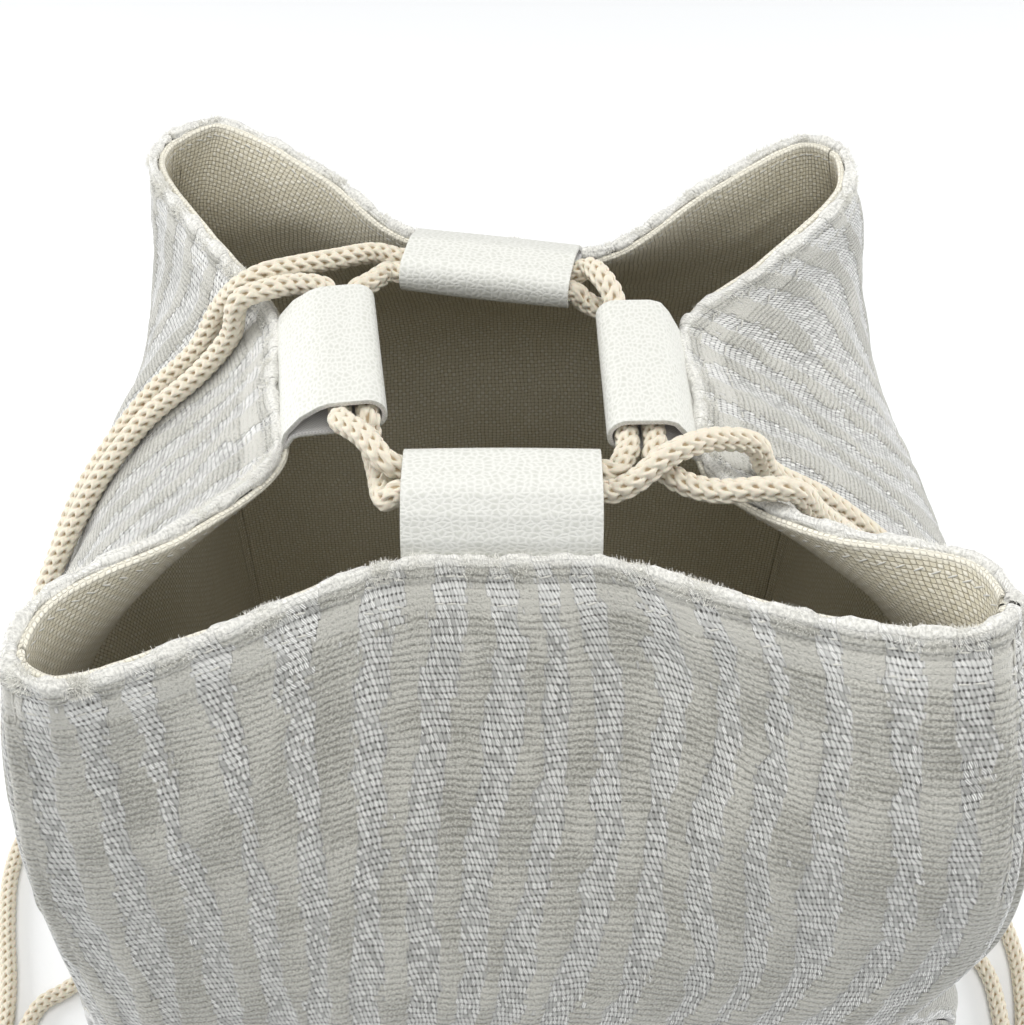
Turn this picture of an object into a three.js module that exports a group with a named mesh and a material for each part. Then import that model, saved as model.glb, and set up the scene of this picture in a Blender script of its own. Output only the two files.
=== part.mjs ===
// Soft square drawstring bag, mouth half drawn in: millimetres, +Z up, origin at the
// centre of the base, -Y is the front. The two layers of each wall, the base layers, the
// four cord tabs, the two drawcords and their end knots are separate solids.
import * as THREE from "three";

// Driving dimensions
const WIDTH = 200; // base, left to right
const DEPTH = 200; // base, front to back
const HEIGHT = 230; // floor to the tips of the four ears
const OUTER_THICK = 2.0; // patterned velvet with its interfacing
const LINING_THICK = 1.6;
const LAYER_GAP = 0.3; // between any two pieces that lie on each other
const SEAM_GAP = 0.3; // between two panels along a corner seam
const LINING_DROP = 0.6; // the lining's edge below the velvet's edge
const BOARD_THICK = 2.0;

const TAB_WIDTH = 40;
const TAB_THICK = 1.1;
const TAB_ROOT = 2.2; // both plies of a tab, sewn together
const TAB_LIFT = 0.35; // underside of a tab over the rim
const CORD_DIAMETER = 5;
const CORD_PITCH = 5.8; // between the two cords side by side in a tab
const CORD_CLEAR = 0.6; // between a cord and the fold of the tab round it
const CORD_UNDER = 0.3; // between a cord and the tab's lower ply
const CORD_OVER = 1.3; // between a cord and the tab's upper ply
const CROSS_RISE = 4.6; // how far the upper cord rises where two cross
const CROSS_SAG = 3.6; // how far the lower one hangs there
const MOUTH_CLOSES = 3; // how far each tab still draws in before the four jam

const KNOT_LENGTH = 20;
const KNOT_THICK = 15;
const INTO_KNOT = 5; // height at which the tails enter their knot

// Fineness of the meshes
const PANEL_COLUMNS = 14;
const PANEL_ROWS = 15;
const FOLD_SEGMENTS = 9;
const CORD_SIDES = 8;
const CORNER_STEPS = 16;
const RIM_STEPS = 14;
const TAIL_STEPS = 38;
const KNOT_SEGMENTS = 16;

// Materials
const velvet = () => new THREE.MeshStandardMaterial({ color: 0xc9c6bd, roughness: 0.85, metalness: 0 });
const linen = () => new THREE.MeshStandardMaterial({ color: 0xa79f8e, roughness: 0.95, metalness: 0 });
const leather = () => new THREE.MeshStandardMaterial({ color: 0xd5d4c9, roughness: 0.55, metalness: 0 });
const cotton = () => new THREE.MeshStandardMaterial({ color: 0xe9ddcb, roughness: 0.9, metalness: 0 });
const board = () => new THREE.MeshStandardMaterial({ color: 0xb8a486, roughness: 0.9, metalness: 0 });

const bag = new THREE.Group();
bag.name = "drawstring_bag";

function addMesh(name, geometry, material) {
  const mesh = new THREE.Mesh(geometry, material);
  mesh.name = name;
  bag.add(mesh);
  return mesh;
}

// The wall is a loft through closed rings. A ring runs front, right, back, left from the
// front left corner, and u counts the corners passed: 0 to 4 once round.
const SIDES = ["front", "right", "back", "left"];
const OUTWARD = [[0, -1], [1, 0], [0, 1], [-1, 0]];

// Points are given for a bag of 200 x 200 x 230 and follow the driving dimensions.
const place = ([x, y, z]) => new THREE.Vector3((x * WIDTH) / 200, (y * DEPTH) / 200, (z * HEIGHT) / 230);

// Rings below the rim: height at the corners and at the middle of a side, how far the middle
// of each side stands out from its two corners, how much of an ear it has, and the corners.
const BODY_RINGS = [
  { z: [0, 0], middle: [2, 2, 2, 2], lobe: 0,
    corners: [[-97, -97], [97, -97], [97, 97], [-97, 97]] },
  { z: [14, 14], middle: [4, 4, 4, 4], lobe: 0,
    corners: [[-99, -99], [99, -99], [99, 99], [-99, 99]] },
  { z: [62, 62], middle: [6, 6, 6, 6], lobe: 0,
    corners: [[-99, -99], [101, -99], [100, 99], [-99, 99]] },
  { z: [108, 108], middle: [4, 7, 5, 9], lobe: 0,
    corners: [[-98, -100], [102, -100], [100, 99], [-99, 99]] },
  { z: [136, 136], middle: [4, 27, 15, 26], lobe: 0,
    corners: [[-88, -111], [84, -111], [98, 98], [-98, 98]] },
  { z: [160, 156], middle: [3, 16, 13, 20], lobe: 0.1,
    corners: [[-91, -106], [95, -107], [99, 95], [-99, 96]] },
  { z: [186, 180], middle: [-10, 0, -1, 4], lobe: 0.5,
    corners: [[-93, -100], [96, -104], [96, 89], [-98, 92]] },
  { z: [208, 202], middle: [-21, -25, -18, -21], lobe: 0.85,
    corners: [[-92.5, -91], [95, -91], [91, 83], [-95, 88]] },
];

// The rim: share of the way along the side, then the point.
const RIM = [
  [[0, -90.5, -83, 228], [0.07, -79.5, -89, 227], [0.2, -57.5, -75.5, 223], [0.36, -24, -54.5, 220.3],
    [0.5, -2, -53, 220], [0.64, 20, -54, 220.3], [0.8, 54, -70.5, 224], [0.93, 81, -78, 229]],
  [[0, 92.5, -72, 230], [0.07, 88, -60.5, 229.5], [0.2, 62, -48.5, 226], [0.36, 42, -28, 220.6],
    [0.5, 41, -3, 220], [0.64, 40.5, 20, 220.3], [0.8, 61, 37.5, 223], [0.93, 84, 61, 228]],
  [[0, 86, 79, 230], [0.07, 74, 85, 229.5], [0.2, 47.5, 68, 226], [0.36, 22, 49, 220.4],
    [0.5, -2, 53, 220], [0.64, -26, 57, 220.4], [0.8, -48, 75.5, 226], [0.93, -76, 93, 230]],
  [[0, -90, 86, 230], [0.07, -92.5, 73, 229], [0.2, -80, 54, 225], [0.36, -57, 24, 220.4],
    [0.5, -54, 0, 220], [0.64, -50, -23, 220.4], [0.8, -65, -48, 225.5], [0.93, -87, -68, 228.5]],
];

const CORNER_ROUND = 2.5; // how far a wall stands out beside its corner seam
const STATIONS = [0, 0.07, 0.2, 0.36, 0.5, 0.64, 0.8, 0.93];

// Share of a side's in or out movement at a point along it: a plain bow, or the flat
// middle and outward lobe of an ear.
function sideShape(s, lobe) {
  const toCorner = Math.min(s, 1 - s);
  const flat = THREE.MathUtils.smoothstep(toCorner, 0.08, 0.36);
  return (1 - lobe) * Math.sin(Math.PI * s) + lobe * flat;
}

function bodyRing({ z, corners, middle, lobe }) {
  return corners.map((corner, side) => {
    const next = corners[(side + 1) % 4];
    const [nx, ny] = OUTWARD[side];
    return STATIONS.map((s) => {
      const beside = s === 0.07 || s === 0.93 ? CORNER_ROUND : 0;
      const out = middle[side] * sideShape(s, lobe) + beside;
      const x = corner[0] + (next[0] - corner[0]) * s + nx * out;
      const y = corner[1] + (next[1] - corner[1]) * s + ny * out;
      return [s, x, y, z[0] + (z[1] - z[0]) * sideShape(s, lobe)];
    });
  });
}

// Flat list of { u, point } once round the bag.
function ringPoints(sides) {
  return sides.flatMap((side, index) => side.map(([s, ...p]) => ({ u: index + s, point: place(p) })));
}

const RINGS = [...BODY_RINGS.map(bodyRing), RIM].map(ringPoints);
const TOP = RINGS.length - 1;

// Smooth closed curve through a ring's points.
function onRing(ring, u) {
  const count = ring.length;
  const turn = ((u % 4) + 4) % 4;
  let i = count - 1;
  while (ring[i].u > turn) i -= 1;
  const at = (k) => {
    const laps = Math.floor(k / count);
    const entry = ring[k - laps * count];
    return { u: entry.u + 4 * laps, point: entry.point };
  };
  const [a, b, c, d] = [at(i - 1), at(i), at(i + 1), at(i + 2)];
  const h = c.u - b.u;
  const f = (turn - b.u) / h;
  const slopeB = c.point.clone().sub(a.point).multiplyScalar(h / (c.u - a.u));
  const slopeC = d.point.clone().sub(b.point).multiplyScalar(h / (d.u - b.u));
  return hermite(b.point, slopeB, c.point, slopeC, f);
}

function hermite(p, mp, q, mq, f) {
  const f2 = f * f;
  const f3 = f2 * f;
  return p.clone().multiplyScalar(2 * f3 - 3 * f2 + 1)
    .addScaledVector(mp, f3 - 2 * f2 + f)
    .addScaledVector(q, -2 * f3 + 3 * f2)
    .addScaledVector(mq, f3 - f2);
}

// Point on the velvet's outer face: u once round, v from 0 at the base to TOP at the rim.
function wallPoint(u, v) {
  const i = Math.min(Math.floor(v), TOP - 1);
  const at = (k) => onRing(RINGS[THREE.MathUtils.clamp(k, 0, TOP)], u);
  const [a, b, c, d] = [at(i - 1), at(i), at(i + 1), at(i + 2)];
  const slopeB = i === 0 ? c.clone().sub(b) : c.clone().sub(a).multiplyScalar(0.5);
  const slopeC = i === TOP - 1 ? c.clone().sub(b) : d.clone().sub(b).multiplyScalar(0.5);
  return hermite(b, slopeB, c, slopeC, v - i);
}

function wallNormal(u, v) {
  const step = 0.01;
  const along = wallPoint(u + step, v).sub(wallPoint(u - step, v));
  const low = Math.max(v - step, 0);
  const high = Math.min(v + step, TOP);
  const up = wallPoint(u, high).sub(wallPoint(u, low));
  return along.cross(up).normalize();
}

// Point under the velvet's outer face by a depth. At a corner seam both panels take the
// corner's own direction, so that the gap between them stays even.
function insideWall(u, v, depth) {
  const corner = Math.round(u);
  const facing = Math.abs(u - corner) < 0.01 ? corner : u;
  return wallPoint(u, v).addScaledVector(wallNormal(facing, v), -depth);
}

// Level v at which the wall reaches a height near the base.
function levelAtHeight(z) {
  let low = 0;
  let high = TOP;
  for (let i = 0; i < 40; i += 1) {
    const middle = (low + high) / 2;
    if (wallPoint(0.5, middle).z < z) low = middle;
    else high = middle;
  }
  return low;
}

// Levels of the rows that both layers of a wall share, from the floor to the rim.
function wallLevels() {
  const liningBottom = levelAtHeight(boardTop() + LAYER_GAP);
  const rimSpan = wallPoint(0.5, TOP).distanceTo(wallPoint(0.5, TOP - 1));
  const liningTop = TOP - LINING_DROP / rimSpan;
  const levels = [0];
  for (let row = 0; row <= PANEL_ROWS; row += 1) {
    levels.push(liningBottom + ((liningTop - liningBottom) * row) / PANEL_ROWS);
  }
  levels.push(TOP);
  return levels;
}

// One closed sheet between two depths under the velvet's face.
function panelGeometry(side, levels, depthOut, depthIn) {
  const sideLength = wallPoint(side, 0).distanceTo(wallPoint(side + 1, 0));
  const edge = SEAM_GAP / 2 / sideLength;
  const positions = [];
  for (const depth of [depthOut, depthIn]) {
    for (const v of levels) {
      for (let column = 0; column <= PANEL_COLUMNS; column += 1) {
        const s = edge + ((1 - 2 * edge) * column) / PANEL_COLUMNS;
        positions.push(...insideWall(side + s, v, depth).toArray());
      }
    }
  }
  return sheetGeometry(positions, PANEL_COLUMNS, levels.length - 1);
}

// Joins two grids of points, outer first, into a closed sheet.
function sheetGeometry(positions, columns, rows) {
  const width = columns + 1;
  const layer = width * (rows + 1);
  const index = [];
  const quad = (a, b, c, d) => index.push(a, b, c, a, c, d);
  for (let row = 0; row < rows; row += 1) {
    for (let column = 0; column < columns; column += 1) {
      const a = row * width + column;
      quad(a, a + 1, a + width + 1, a + width);
      quad(layer + a, layer + a + width, layer + a + width + 1, layer + a + 1);
    }
  }
  for (let column = 0; column < columns; column += 1) {
    const top = rows * width + column;
    quad(column, layer + column, layer + column + 1, column + 1);
    quad(top, top + 1, layer + top + 1, layer + top);
  }
  for (let row = 0; row < rows; row += 1) {
    const a = row * width;
    const b = a + columns;
    quad(a, a + width, layer + a + width, layer + a);
    quad(b, layer + b, layer + b + width, b + width);
  }
  const geometry = new THREE.BufferGeometry();
  geometry.setAttribute("position", new THREE.Float32BufferAttribute(positions, 3));
  geometry.setIndex(index);
  geometry.computeVertexNormals();
  return geometry;
}

// Flat plate that fits inside the walls at its height.
function plateGeometry(z, thick, inset) {
  const v = levelAtHeight(z);
  const steps = 4 * PANEL_COLUMNS;
  const outline = [];
  for (let i = 0; i < steps; i += 1) {
    const u = (4 * i) / steps;
    const normal = wallNormal(u, v).setZ(0).normalize();
    const p = wallPoint(u, v).addScaledVector(normal, -inset);
    outline.push(new THREE.Vector2(p.x, p.y));
  }
  const plate = { depth: thick, bevelEnabled: false };
  return new THREE.ExtrudeGeometry(new THREE.Shape(outline), plate).translate(0, 0, z);
}

function addWalls() {
  const liningOut = OUTER_THICK + LAYER_GAP;
  const liningIn = liningOut + LINING_THICK;
  const levels = wallLevels();
  SIDES.forEach((name, side) => {
    addMesh(`outer_${name}`, panelGeometry(side, levels, 0, OUTER_THICK), velvet());
    addMesh(`lining_${name}`, panelGeometry(side, levels.slice(1, -1), liningOut, liningIn), linen());
  });
}

const boardTop = () => OUTER_THICK + LAYER_GAP + BOARD_THICK;

function addBase() {
  const inWalls = OUTER_THICK + LAYER_GAP;
  const inLining = inWalls + LINING_THICK + LAYER_GAP;
  addMesh("outer_base", plateGeometry(0, OUTER_THICK, inWalls), velvet());
  addMesh("base_board", plateGeometry(OUTER_THICK + LAYER_GAP, BOARD_THICK, inWalls), board());
  addMesh("lining_base", plateGeometry(boardTop() + LAYER_GAP, LINING_THICK, inLining), linen());
}

// A tab is a strip folded round the two cords. Its frame has x along the cords, y from
// the rim towards the middle of the mouth and z up; the origin is on the rim. The lower
// ply lies flat, and the upper one rises over the cords.
const LOOP_HEIGHT = CORD_UNDER + CORD_DIAMETER + CORD_OVER;
const LOOP_LENGTH = CORD_DIAMETER + CORD_PITCH + 2 * CORD_CLEAR;
const TABS = [
  { name: "front", length: 24, turn: 0 },
  { name: "right", length: 21.5, turn: 91 },
  { name: "back", length: 28, turn: 170 },
  { name: "left", length: 25, turn: -82 },
];
const TAB_SEAT = OUTER_THICK / 2; // root's end, in from the velvet's outer face
const EDGE = TAB_WIDTH / 2;

function tabFrame(side) {
  const root = wallPoint(side + 0.5, TOP);
  const turn = THREE.MathUtils.degToRad(TABS[side].turn);
  return new THREE.Matrix4().makeRotationZ(turn).setPosition(root);
}

// Point in a tab's frame: along the cords, in from the rim, up.
function tabPoint(side, along, inward, up) {
  return new THREE.Vector3(along, inward, up).applyMatrix4(tabFrame(side));
}

// How far in from the rim each of the two cords runs, and how high.
const innerLine = (side) => TABS[side].length - TAB_THICK - CORD_CLEAR - CORD_DIAMETER / 2;
const outerLine = (side) => innerLine(side) - CORD_PITCH;
const CORD_UP = TAB_LIFT + TAB_THICK + CORD_UNDER + CORD_DIAMETER / 2;

// Outline of the folded strip from the side, y inward and z up, with the hole for the cords.
function tabGeometry(side) {
  const { length } = TABS[side];
  const low = TAB_LIFT;
  const high = low + LOOP_HEIGHT + 2 * TAB_THICK;
  const outerR = (high - low) / 2;
  const foldY = length - outerR;
  const loopY = length - TAB_THICK - LOOP_LENGTH;
  const shape = new THREE.Shape();
  shape.moveTo(TAB_SEAT, low);
  shape.lineTo(foldY, low);
  shape.absarc(foldY, low + outerR, outerR, -Math.PI / 2, Math.PI / 2, false);
  shape.lineTo(loopY, high);
  shape.lineTo(TAB_SEAT + TAB_ROOT, low + TAB_ROOT);
  shape.lineTo(TAB_SEAT, low + TAB_ROOT);
  shape.closePath();
  const hole = new THREE.Path();
  hole.moveTo(loopY, low + TAB_THICK);
  hole.lineTo(foldY, low + TAB_THICK);
  hole.absarc(foldY, low + outerR, outerR - TAB_THICK, -Math.PI / 2, Math.PI / 2, false);
  hole.lineTo(loopY + TAB_THICK / 2, high - TAB_THICK);
  hole.closePath();
  shape.holes.push(hole);
  const strip = { depth: TAB_WIDTH, bevelEnabled: false, curveSegments: FOLD_SEGMENTS };
  const geometry = new THREE.ExtrudeGeometry(shape, strip);
  // the outline's own axes, drawn x and y, become the tab's y and z
  const turned = new THREE.Matrix4().makeBasis(
    new THREE.Vector3(0, 1, 0), new THREE.Vector3(0, 0, 1), new THREE.Vector3(1, 0, 0));
  return geometry.translate(0, 0, -EDGE).applyMatrix4(turned);
}

function addTabs() {
  TABS.forEach(({ name }, side) => {
    const mesh = addMesh(`tab_${name}`, tabGeometry(side), leather());
    mesh.applyMatrix4(tabFrame(side));
  });
}

function cordSection() {
  const section = new THREE.Shape();
  for (let i = 0; i < CORD_SIDES; i += 1) {
    const angle = ((i + 0.5) * 2 * Math.PI) / CORD_SIDES;
    const x = (Math.cos(angle) * CORD_DIAMETER) / 2;
    const y = (Math.sin(angle) * CORD_DIAMETER) / 2;
    if (i === 0) section.moveTo(x, y);
    else section.lineTo(x, y);
  }
  section.closePath();
  return section;
}

function addCord(name, points, steps) {
  const route = new THREE.CatmullRomCurve3(points, false, "centripetal");
  const tube = { steps, extrudePath: route, bevelEnabled: false };
  addMesh(name, new THREE.ExtrudeGeometry(cordSection(), tube), cotton());
}

const [FRONT, RIGHT, BACK, LEFT] = [0, 1, 2, 3];

// A cord's run round one corner of the mouth, from inside a tab to inside the next,
// clockwise from above. Its legs slide in the tabs as the mouth closes or opens.
const LEG_START = MOUTH_CLOSES + LAYER_GAP / 2;
const LEG = [LEG_START, (LEG_START + EDGE) / 2, EDGE * 0.85];
const OUTSIDE = EDGE + 3.5; // where a cord has left the tab
const SAG_LEAVES = EDGE + 1; // where the lower of two crossing cords starts to sag
const RISE_AT_EDGE = 0.15; // share of a crossing cord's rise at the tab's edge
const RISE_OUTSIDE = 0.65; // the same where it has left the tab

function cornerRun(sideA, lineA, sideB, lineB, rise) {
  const atEdge = CORD_UP + Math.max(0, RISE_AT_EDGE * rise);
  const edge = rise < 0 ? SAG_LEAVES : EDGE;
  const first = LEG.map((along) => tabPoint(sideA, -along, lineA(sideA), CORD_UP));
  const last = LEG.map((along) => tabPoint(sideB, along, lineB(sideB), CORD_UP)).reverse();
  first.push(tabPoint(sideA, -edge, lineA(sideA), atEdge));
  last.unshift(tabPoint(sideB, edge, lineB(sideB), atEdge));
  const outside = CORD_UP + RISE_OUTSIDE * rise;
  const leaving = tabPoint(sideA, -OUTSIDE, lineA(sideA), outside);
  const arriving = tabPoint(sideB, OUTSIDE, lineB(sideB), outside);
  const middle = leaving.clone().add(arriving).multiplyScalar(0.5);
  middle.z += (1 - RISE_OUTSIDE) * rise;
  return [...first, leaving, middle, arriving, ...last];
}

// Each cord passes all four tabs: A leaves towards the left, B towards the right. They
// change places at two corners, where A runs over B.
const RUNS = {
  cord_a_back_right: [BACK, outerLine, RIGHT, innerLine, CROSS_RISE],
  cord_a_front_right: [RIGHT, innerLine, FRONT, innerLine, 0],
  cord_a_front_left: [FRONT, innerLine, LEFT, outerLine, CROSS_RISE],
  cord_b_front_left: [FRONT, outerLine, LEFT, innerLine, -CROSS_SAG],
  cord_b_back_left: [LEFT, innerLine, BACK, innerLine, 0],
  cord_b_back_right: [BACK, innerLine, RIGHT, outerLine, -CROSS_SAG],
};

// Two tails first pass from their tab to the rim of the next side, where they lie on it.
const RIM_RUNS = {
  cord_a_back_left: {
    tab: BACK,
    over: [[-33, 40.5, 224.8], [-42, 36.5, 226], [-48, 33.9, 226.6], [-53.85, 31.7, 226.8]],
  },
  cord_b_front_right: {
    tab: FRONT,
    over: [[24, -38.5, 226], [31.5, -34.5, 230.2], [39.5, -30, 230], [44.35, -28, 228.4]],
  },
};

// A cord's leg on its outer line in a tab, from near the tab's middle to just outside.
function tabLeg(tab, end) {
  const stations = [...LEG, EDGE, EDGE + 2];
  return stations.map((along) => tabPoint(tab, end * along, outerLine(tab), CORD_UP));
}

function addCornerRuns() {
  for (const [name, run] of Object.entries(RUNS)) addCord(name, cornerRun(...run), CORNER_STEPS);
  for (const [name, { tab, over }] of Object.entries(RIM_RUNS)) {
    addCord(name, [...tabLeg(tab, 1), ...over.map((p) => new THREE.Vector3(...p))], RIM_STEPS);
  }
}

// A tail leaves its tab or starts on the rim, runs down a wall and lies on the floor up to
// its knot. Points over the rim and on the floor are x, y, z; those on the wall are the share
// of the side and the level, where the cord rests on the velvet.
const REST = CORD_DIAMETER / 2 + LAYER_GAP; // cord's middle over what it lies on
const WALL_REST = REST + 0.9; // the same on a wall, clear of its bows
const KNOTS = { left: [-154, -90], right: [154, -90] };
const KNOT_AHEAD = 4; // a tail's last bend before its knot
const TAILS = {
  cord_a_tail_back: {
    wall: LEFT,
    over: [[-54.15, 31.6, 226.8], [-58, 30.3, 226.6], [-63.5, 29.6, 224]],
    onWall: [[0.31, 7.55], [0.325, 7.0], [0.355, 6.5], [0.4, 6.1], [0.44, 5.6], [0.475, 5.1],
      [0.5, 4.6], [0.515, 4.1]],
    down: [[-124, -4, 108], [-126, 3, 78], [-130, 12, 46], [-137, 20, 20], [-147, 24, 6], [-159, 21, REST],
      [-167.5, 11, REST], [-169.5, -4, REST], [-166, -24, REST], [-160.5, -44, REST], [-157.8, -60, REST],
      [-156.8, -72, REST]],
    knot: "left", beside: -2.8,
  },
  cord_a_tail_left: {
    tab: LEFT, wall: LEFT,
    over: [[-43.8, 26.2, 225.2], [-49.5, 26.6, 226], [-56.5, 24.6, 226.2], [-63.5, 23, 224]],
    onWall: [[0.355, 7.5], [0.37, 6.95], [0.4, 6.45], [0.445, 6.05], [0.485, 5.55], [0.52, 5.05],
      [0.55, 4.55], [0.57, 4.05]],
    down: [[-124, -16, 108], [-125, -21, 78], [-127, -27, 46], [-130, -34, 20], [-134, -40, 6],
      [-141.5, -45.5, REST], [-148.5, -50.5, REST], [-151.8, -60, REST], [-151.3, -72, REST]],
    knot: "left", beside: 2.8,
  },
  cord_b_tail_front: {
    wall: RIGHT,
    over: [[44.65, -27.9, 228.3], [47.8, -26.9, 227], [51, -26.2, 224.4]],
    onWall: [[0.382, 7.55], [0.386, 7.05], [0.376, 6.55], [0.36, 6.05], [0.345, 5.55], [0.335, 5.05],
      [0.33, 4.55], [0.33, 4.05]],
    down: [[124, -37, 108], [126, -29, 78], [129.5, -20, 46], [135.5, -12, 20], [144, -8.5, 6],
      [153.5, -10, REST], [160.5, -19, REST], [163, -33, REST], [161.3, -50, REST], [158.3, -63, REST],
      [156.8, -72, REST]],
    knot: "right", beside: 2.8,
  },
  cord_b_tail_right: {
    tab: RIGHT, wall: RIGHT,
    over: [[29.5, -29, 224.1], [34, -36, 224.3], [41, -40.3, 225.8], [49, -41.5, 227.6],
      [56.5, -41, 226.6]],
    onWall: [[0.27, 7.65], [0.3, 7.15], [0.312, 6.6], [0.308, 6.05], [0.3, 5.55], [0.293, 5.05],
      [0.29, 4.55], [0.288, 4.05]],
    down: [[123, -50, 108], [126, -45, 78], [130, -38, 46], [135, -31, 20], [141, -28, 6], [148, -31, REST],
      [152.6, -41, REST], [152.8, -57, REST], [151.3, -72, REST]],
    knot: "right", beside: -2.8,
  },
};

function addTails() {
  for (const [name, tail] of Object.entries(TAILS)) {
    const [knotX, knotY] = KNOTS[tail.knot];
    const start = tail.tab === undefined ? [] : tabLeg(tail.tab, -1);
    const points = [
      ...start,
      ...tail.over.map((p) => new THREE.Vector3(...p)),
      ...tail.onWall.map(([s, v]) => insideWall(tail.wall + s, v, -WALL_REST)),
      ...tail.down.map((p) => new THREE.Vector3(...p)),
      ...[KNOT_AHEAD, LAYER_GAP].map((gap) => (
        new THREE.Vector3(knotX + tail.beside, knotY + KNOT_LENGTH / 2 + gap, INTO_KNOT))),
    ];
    addCord(name, points, TAIL_STEPS);
  }
}

// The two ends of a cord are tied together in one overhand knot, lying on the floor.
function addKnots() {
  const half = KNOT_LENGTH / 2;
  const radius = KNOT_THICK / 2;
  const profile = [[0, -half], [radius * 0.8, -half], [radius, -half * 0.6], [radius, half * 0.6],
    [radius * 0.8, half], [0, half]].map(([r, y]) => new THREE.Vector2(r, y));
  for (const [name, [x, y]] of Object.entries(KNOTS)) {
    const geometry = new THREE.LatheGeometry(profile, KNOT_SEGMENTS);
    addMesh(`knot_${name}`, geometry, cotton()).position.set(x, y, radius);
  }
}

addWalls();
addBase();
addTabs();
addCornerRuns();
addTails();
addKnots();

export default bag;
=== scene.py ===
"""Soft square drawstring bag: cloth walls, leather tabs and knitted cords on the CAD frame."""
import enum
import logging
import math
from dataclasses import dataclass

import bpy
import numpy as np
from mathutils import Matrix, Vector


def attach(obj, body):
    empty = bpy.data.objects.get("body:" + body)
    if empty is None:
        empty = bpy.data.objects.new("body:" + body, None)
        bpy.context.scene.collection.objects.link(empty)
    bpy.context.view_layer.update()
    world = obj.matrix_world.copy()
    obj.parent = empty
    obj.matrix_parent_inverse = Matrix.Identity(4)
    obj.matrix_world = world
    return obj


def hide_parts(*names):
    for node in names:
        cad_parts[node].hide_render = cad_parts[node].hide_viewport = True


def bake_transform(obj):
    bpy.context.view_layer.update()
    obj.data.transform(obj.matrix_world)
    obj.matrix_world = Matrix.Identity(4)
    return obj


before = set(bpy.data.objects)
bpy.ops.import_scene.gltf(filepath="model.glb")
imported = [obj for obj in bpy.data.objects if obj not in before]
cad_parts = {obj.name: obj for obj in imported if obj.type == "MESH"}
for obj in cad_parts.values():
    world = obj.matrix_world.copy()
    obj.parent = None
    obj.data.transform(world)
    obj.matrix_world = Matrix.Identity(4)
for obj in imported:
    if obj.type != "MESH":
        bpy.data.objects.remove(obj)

logging.basicConfig(level=logging.INFO, format="%(name)s: %(message)s")
log = logging.getLogger("bag")

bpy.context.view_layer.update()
MM = 0.001
Array = np.ndarray
Rgb = tuple[float, float, float]
Pair = tuple[float, float]
Ramp = tuple[float, float, float, float]
Socket = bpy.types.NodeSocket
Value = Socket | float
CLOUDS: Pair = (0.3, 0.7)


class Side(enum.IntEnum):
    """Sides of the bag, in the order of the loft's parameter u."""

    FRONT = 0
    RIGHT = 1
    BACK = 2
    LEFT = 3

    @property
    def label(self) -> str:
        """Name of the side in the CAD nodes and bodies."""
        return self.name.lower()


# Shape of the walls


class SmoothNoise:
    """Seeded noise between -1 and 1, smooth between the points of a square grid."""

    def __init__(self, seed: int, size: int = 97) -> None:
        """Makes the grid.

        Args:
            seed: start of the random numbers.
            size: points along each side of the grid, after which it repeats.
        """
        self.size = size
        self.grid = np.random.default_rng(seed).uniform(-1.0, 1.0, (size, size))

    def __call__(self, x: Array, y: Array) -> Array:
        """Returns the noise at x, y.

        Args:
            x: places across, counted in grid steps.
            y: places along, counted in grid steps.

        Returns:
            The noise at each place, between -1 and 1.
        """
        i, j = np.floor(x).astype(int), np.floor(y).astype(int)
        fx, fy = x - i, y - j
        fx, fy = fx * fx * (3 - 2 * fx), fy * fy * (3 - 2 * fy)
        low = self._at(i, j) * (1 - fx) + self._at(i + 1, j) * fx
        high = self._at(i, j + 1) * (1 - fx) + self._at(i + 1, j + 1) * fx
        return low * (1 - fy) + high * fy

    def _at(self, i: Array, j: Array) -> Array:
        """Returns the grid's values, repeated past its edges."""
        return self.grid[i % self.size, j % self.size]


def smoothstep(x: Array, low: float, high: float) -> Array:
    """Returns 0 below low, 1 above high and a smooth rise between them."""
    t = np.clip((x - low) / (high - low), 0.0, 1.0)
    return t * t * (3 - 2 * t)


def hermite(p: Array, mp: Array, q: Array, mq: Array, f: Array) -> Array:
    """Returns the cubic from p with slope mp to q with slope mq, at share f."""
    f2, f3 = f * f, f * f * f
    return p * (2 * f3 - 3 * f2 + 1) + mp * (f3 - 2 * f2 + f) + q * (-2 * f3 + 3 * f2) + mq * (f3 - f2)


def unit(v: Array) -> Array:
    """Returns the vectors of v at length 1."""
    return v / np.maximum(np.linalg.norm(v, axis=-1, keepdims=True), 1e-12)


@dataclass(frozen=True)
class BodyRing:
    """One ring of the wall below the rim, in mm."""

    z: tuple[float, float]
    corners: tuple[tuple[float, float], ...]
    middle: tuple[float, float, float, float]
    lobe: float


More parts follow.
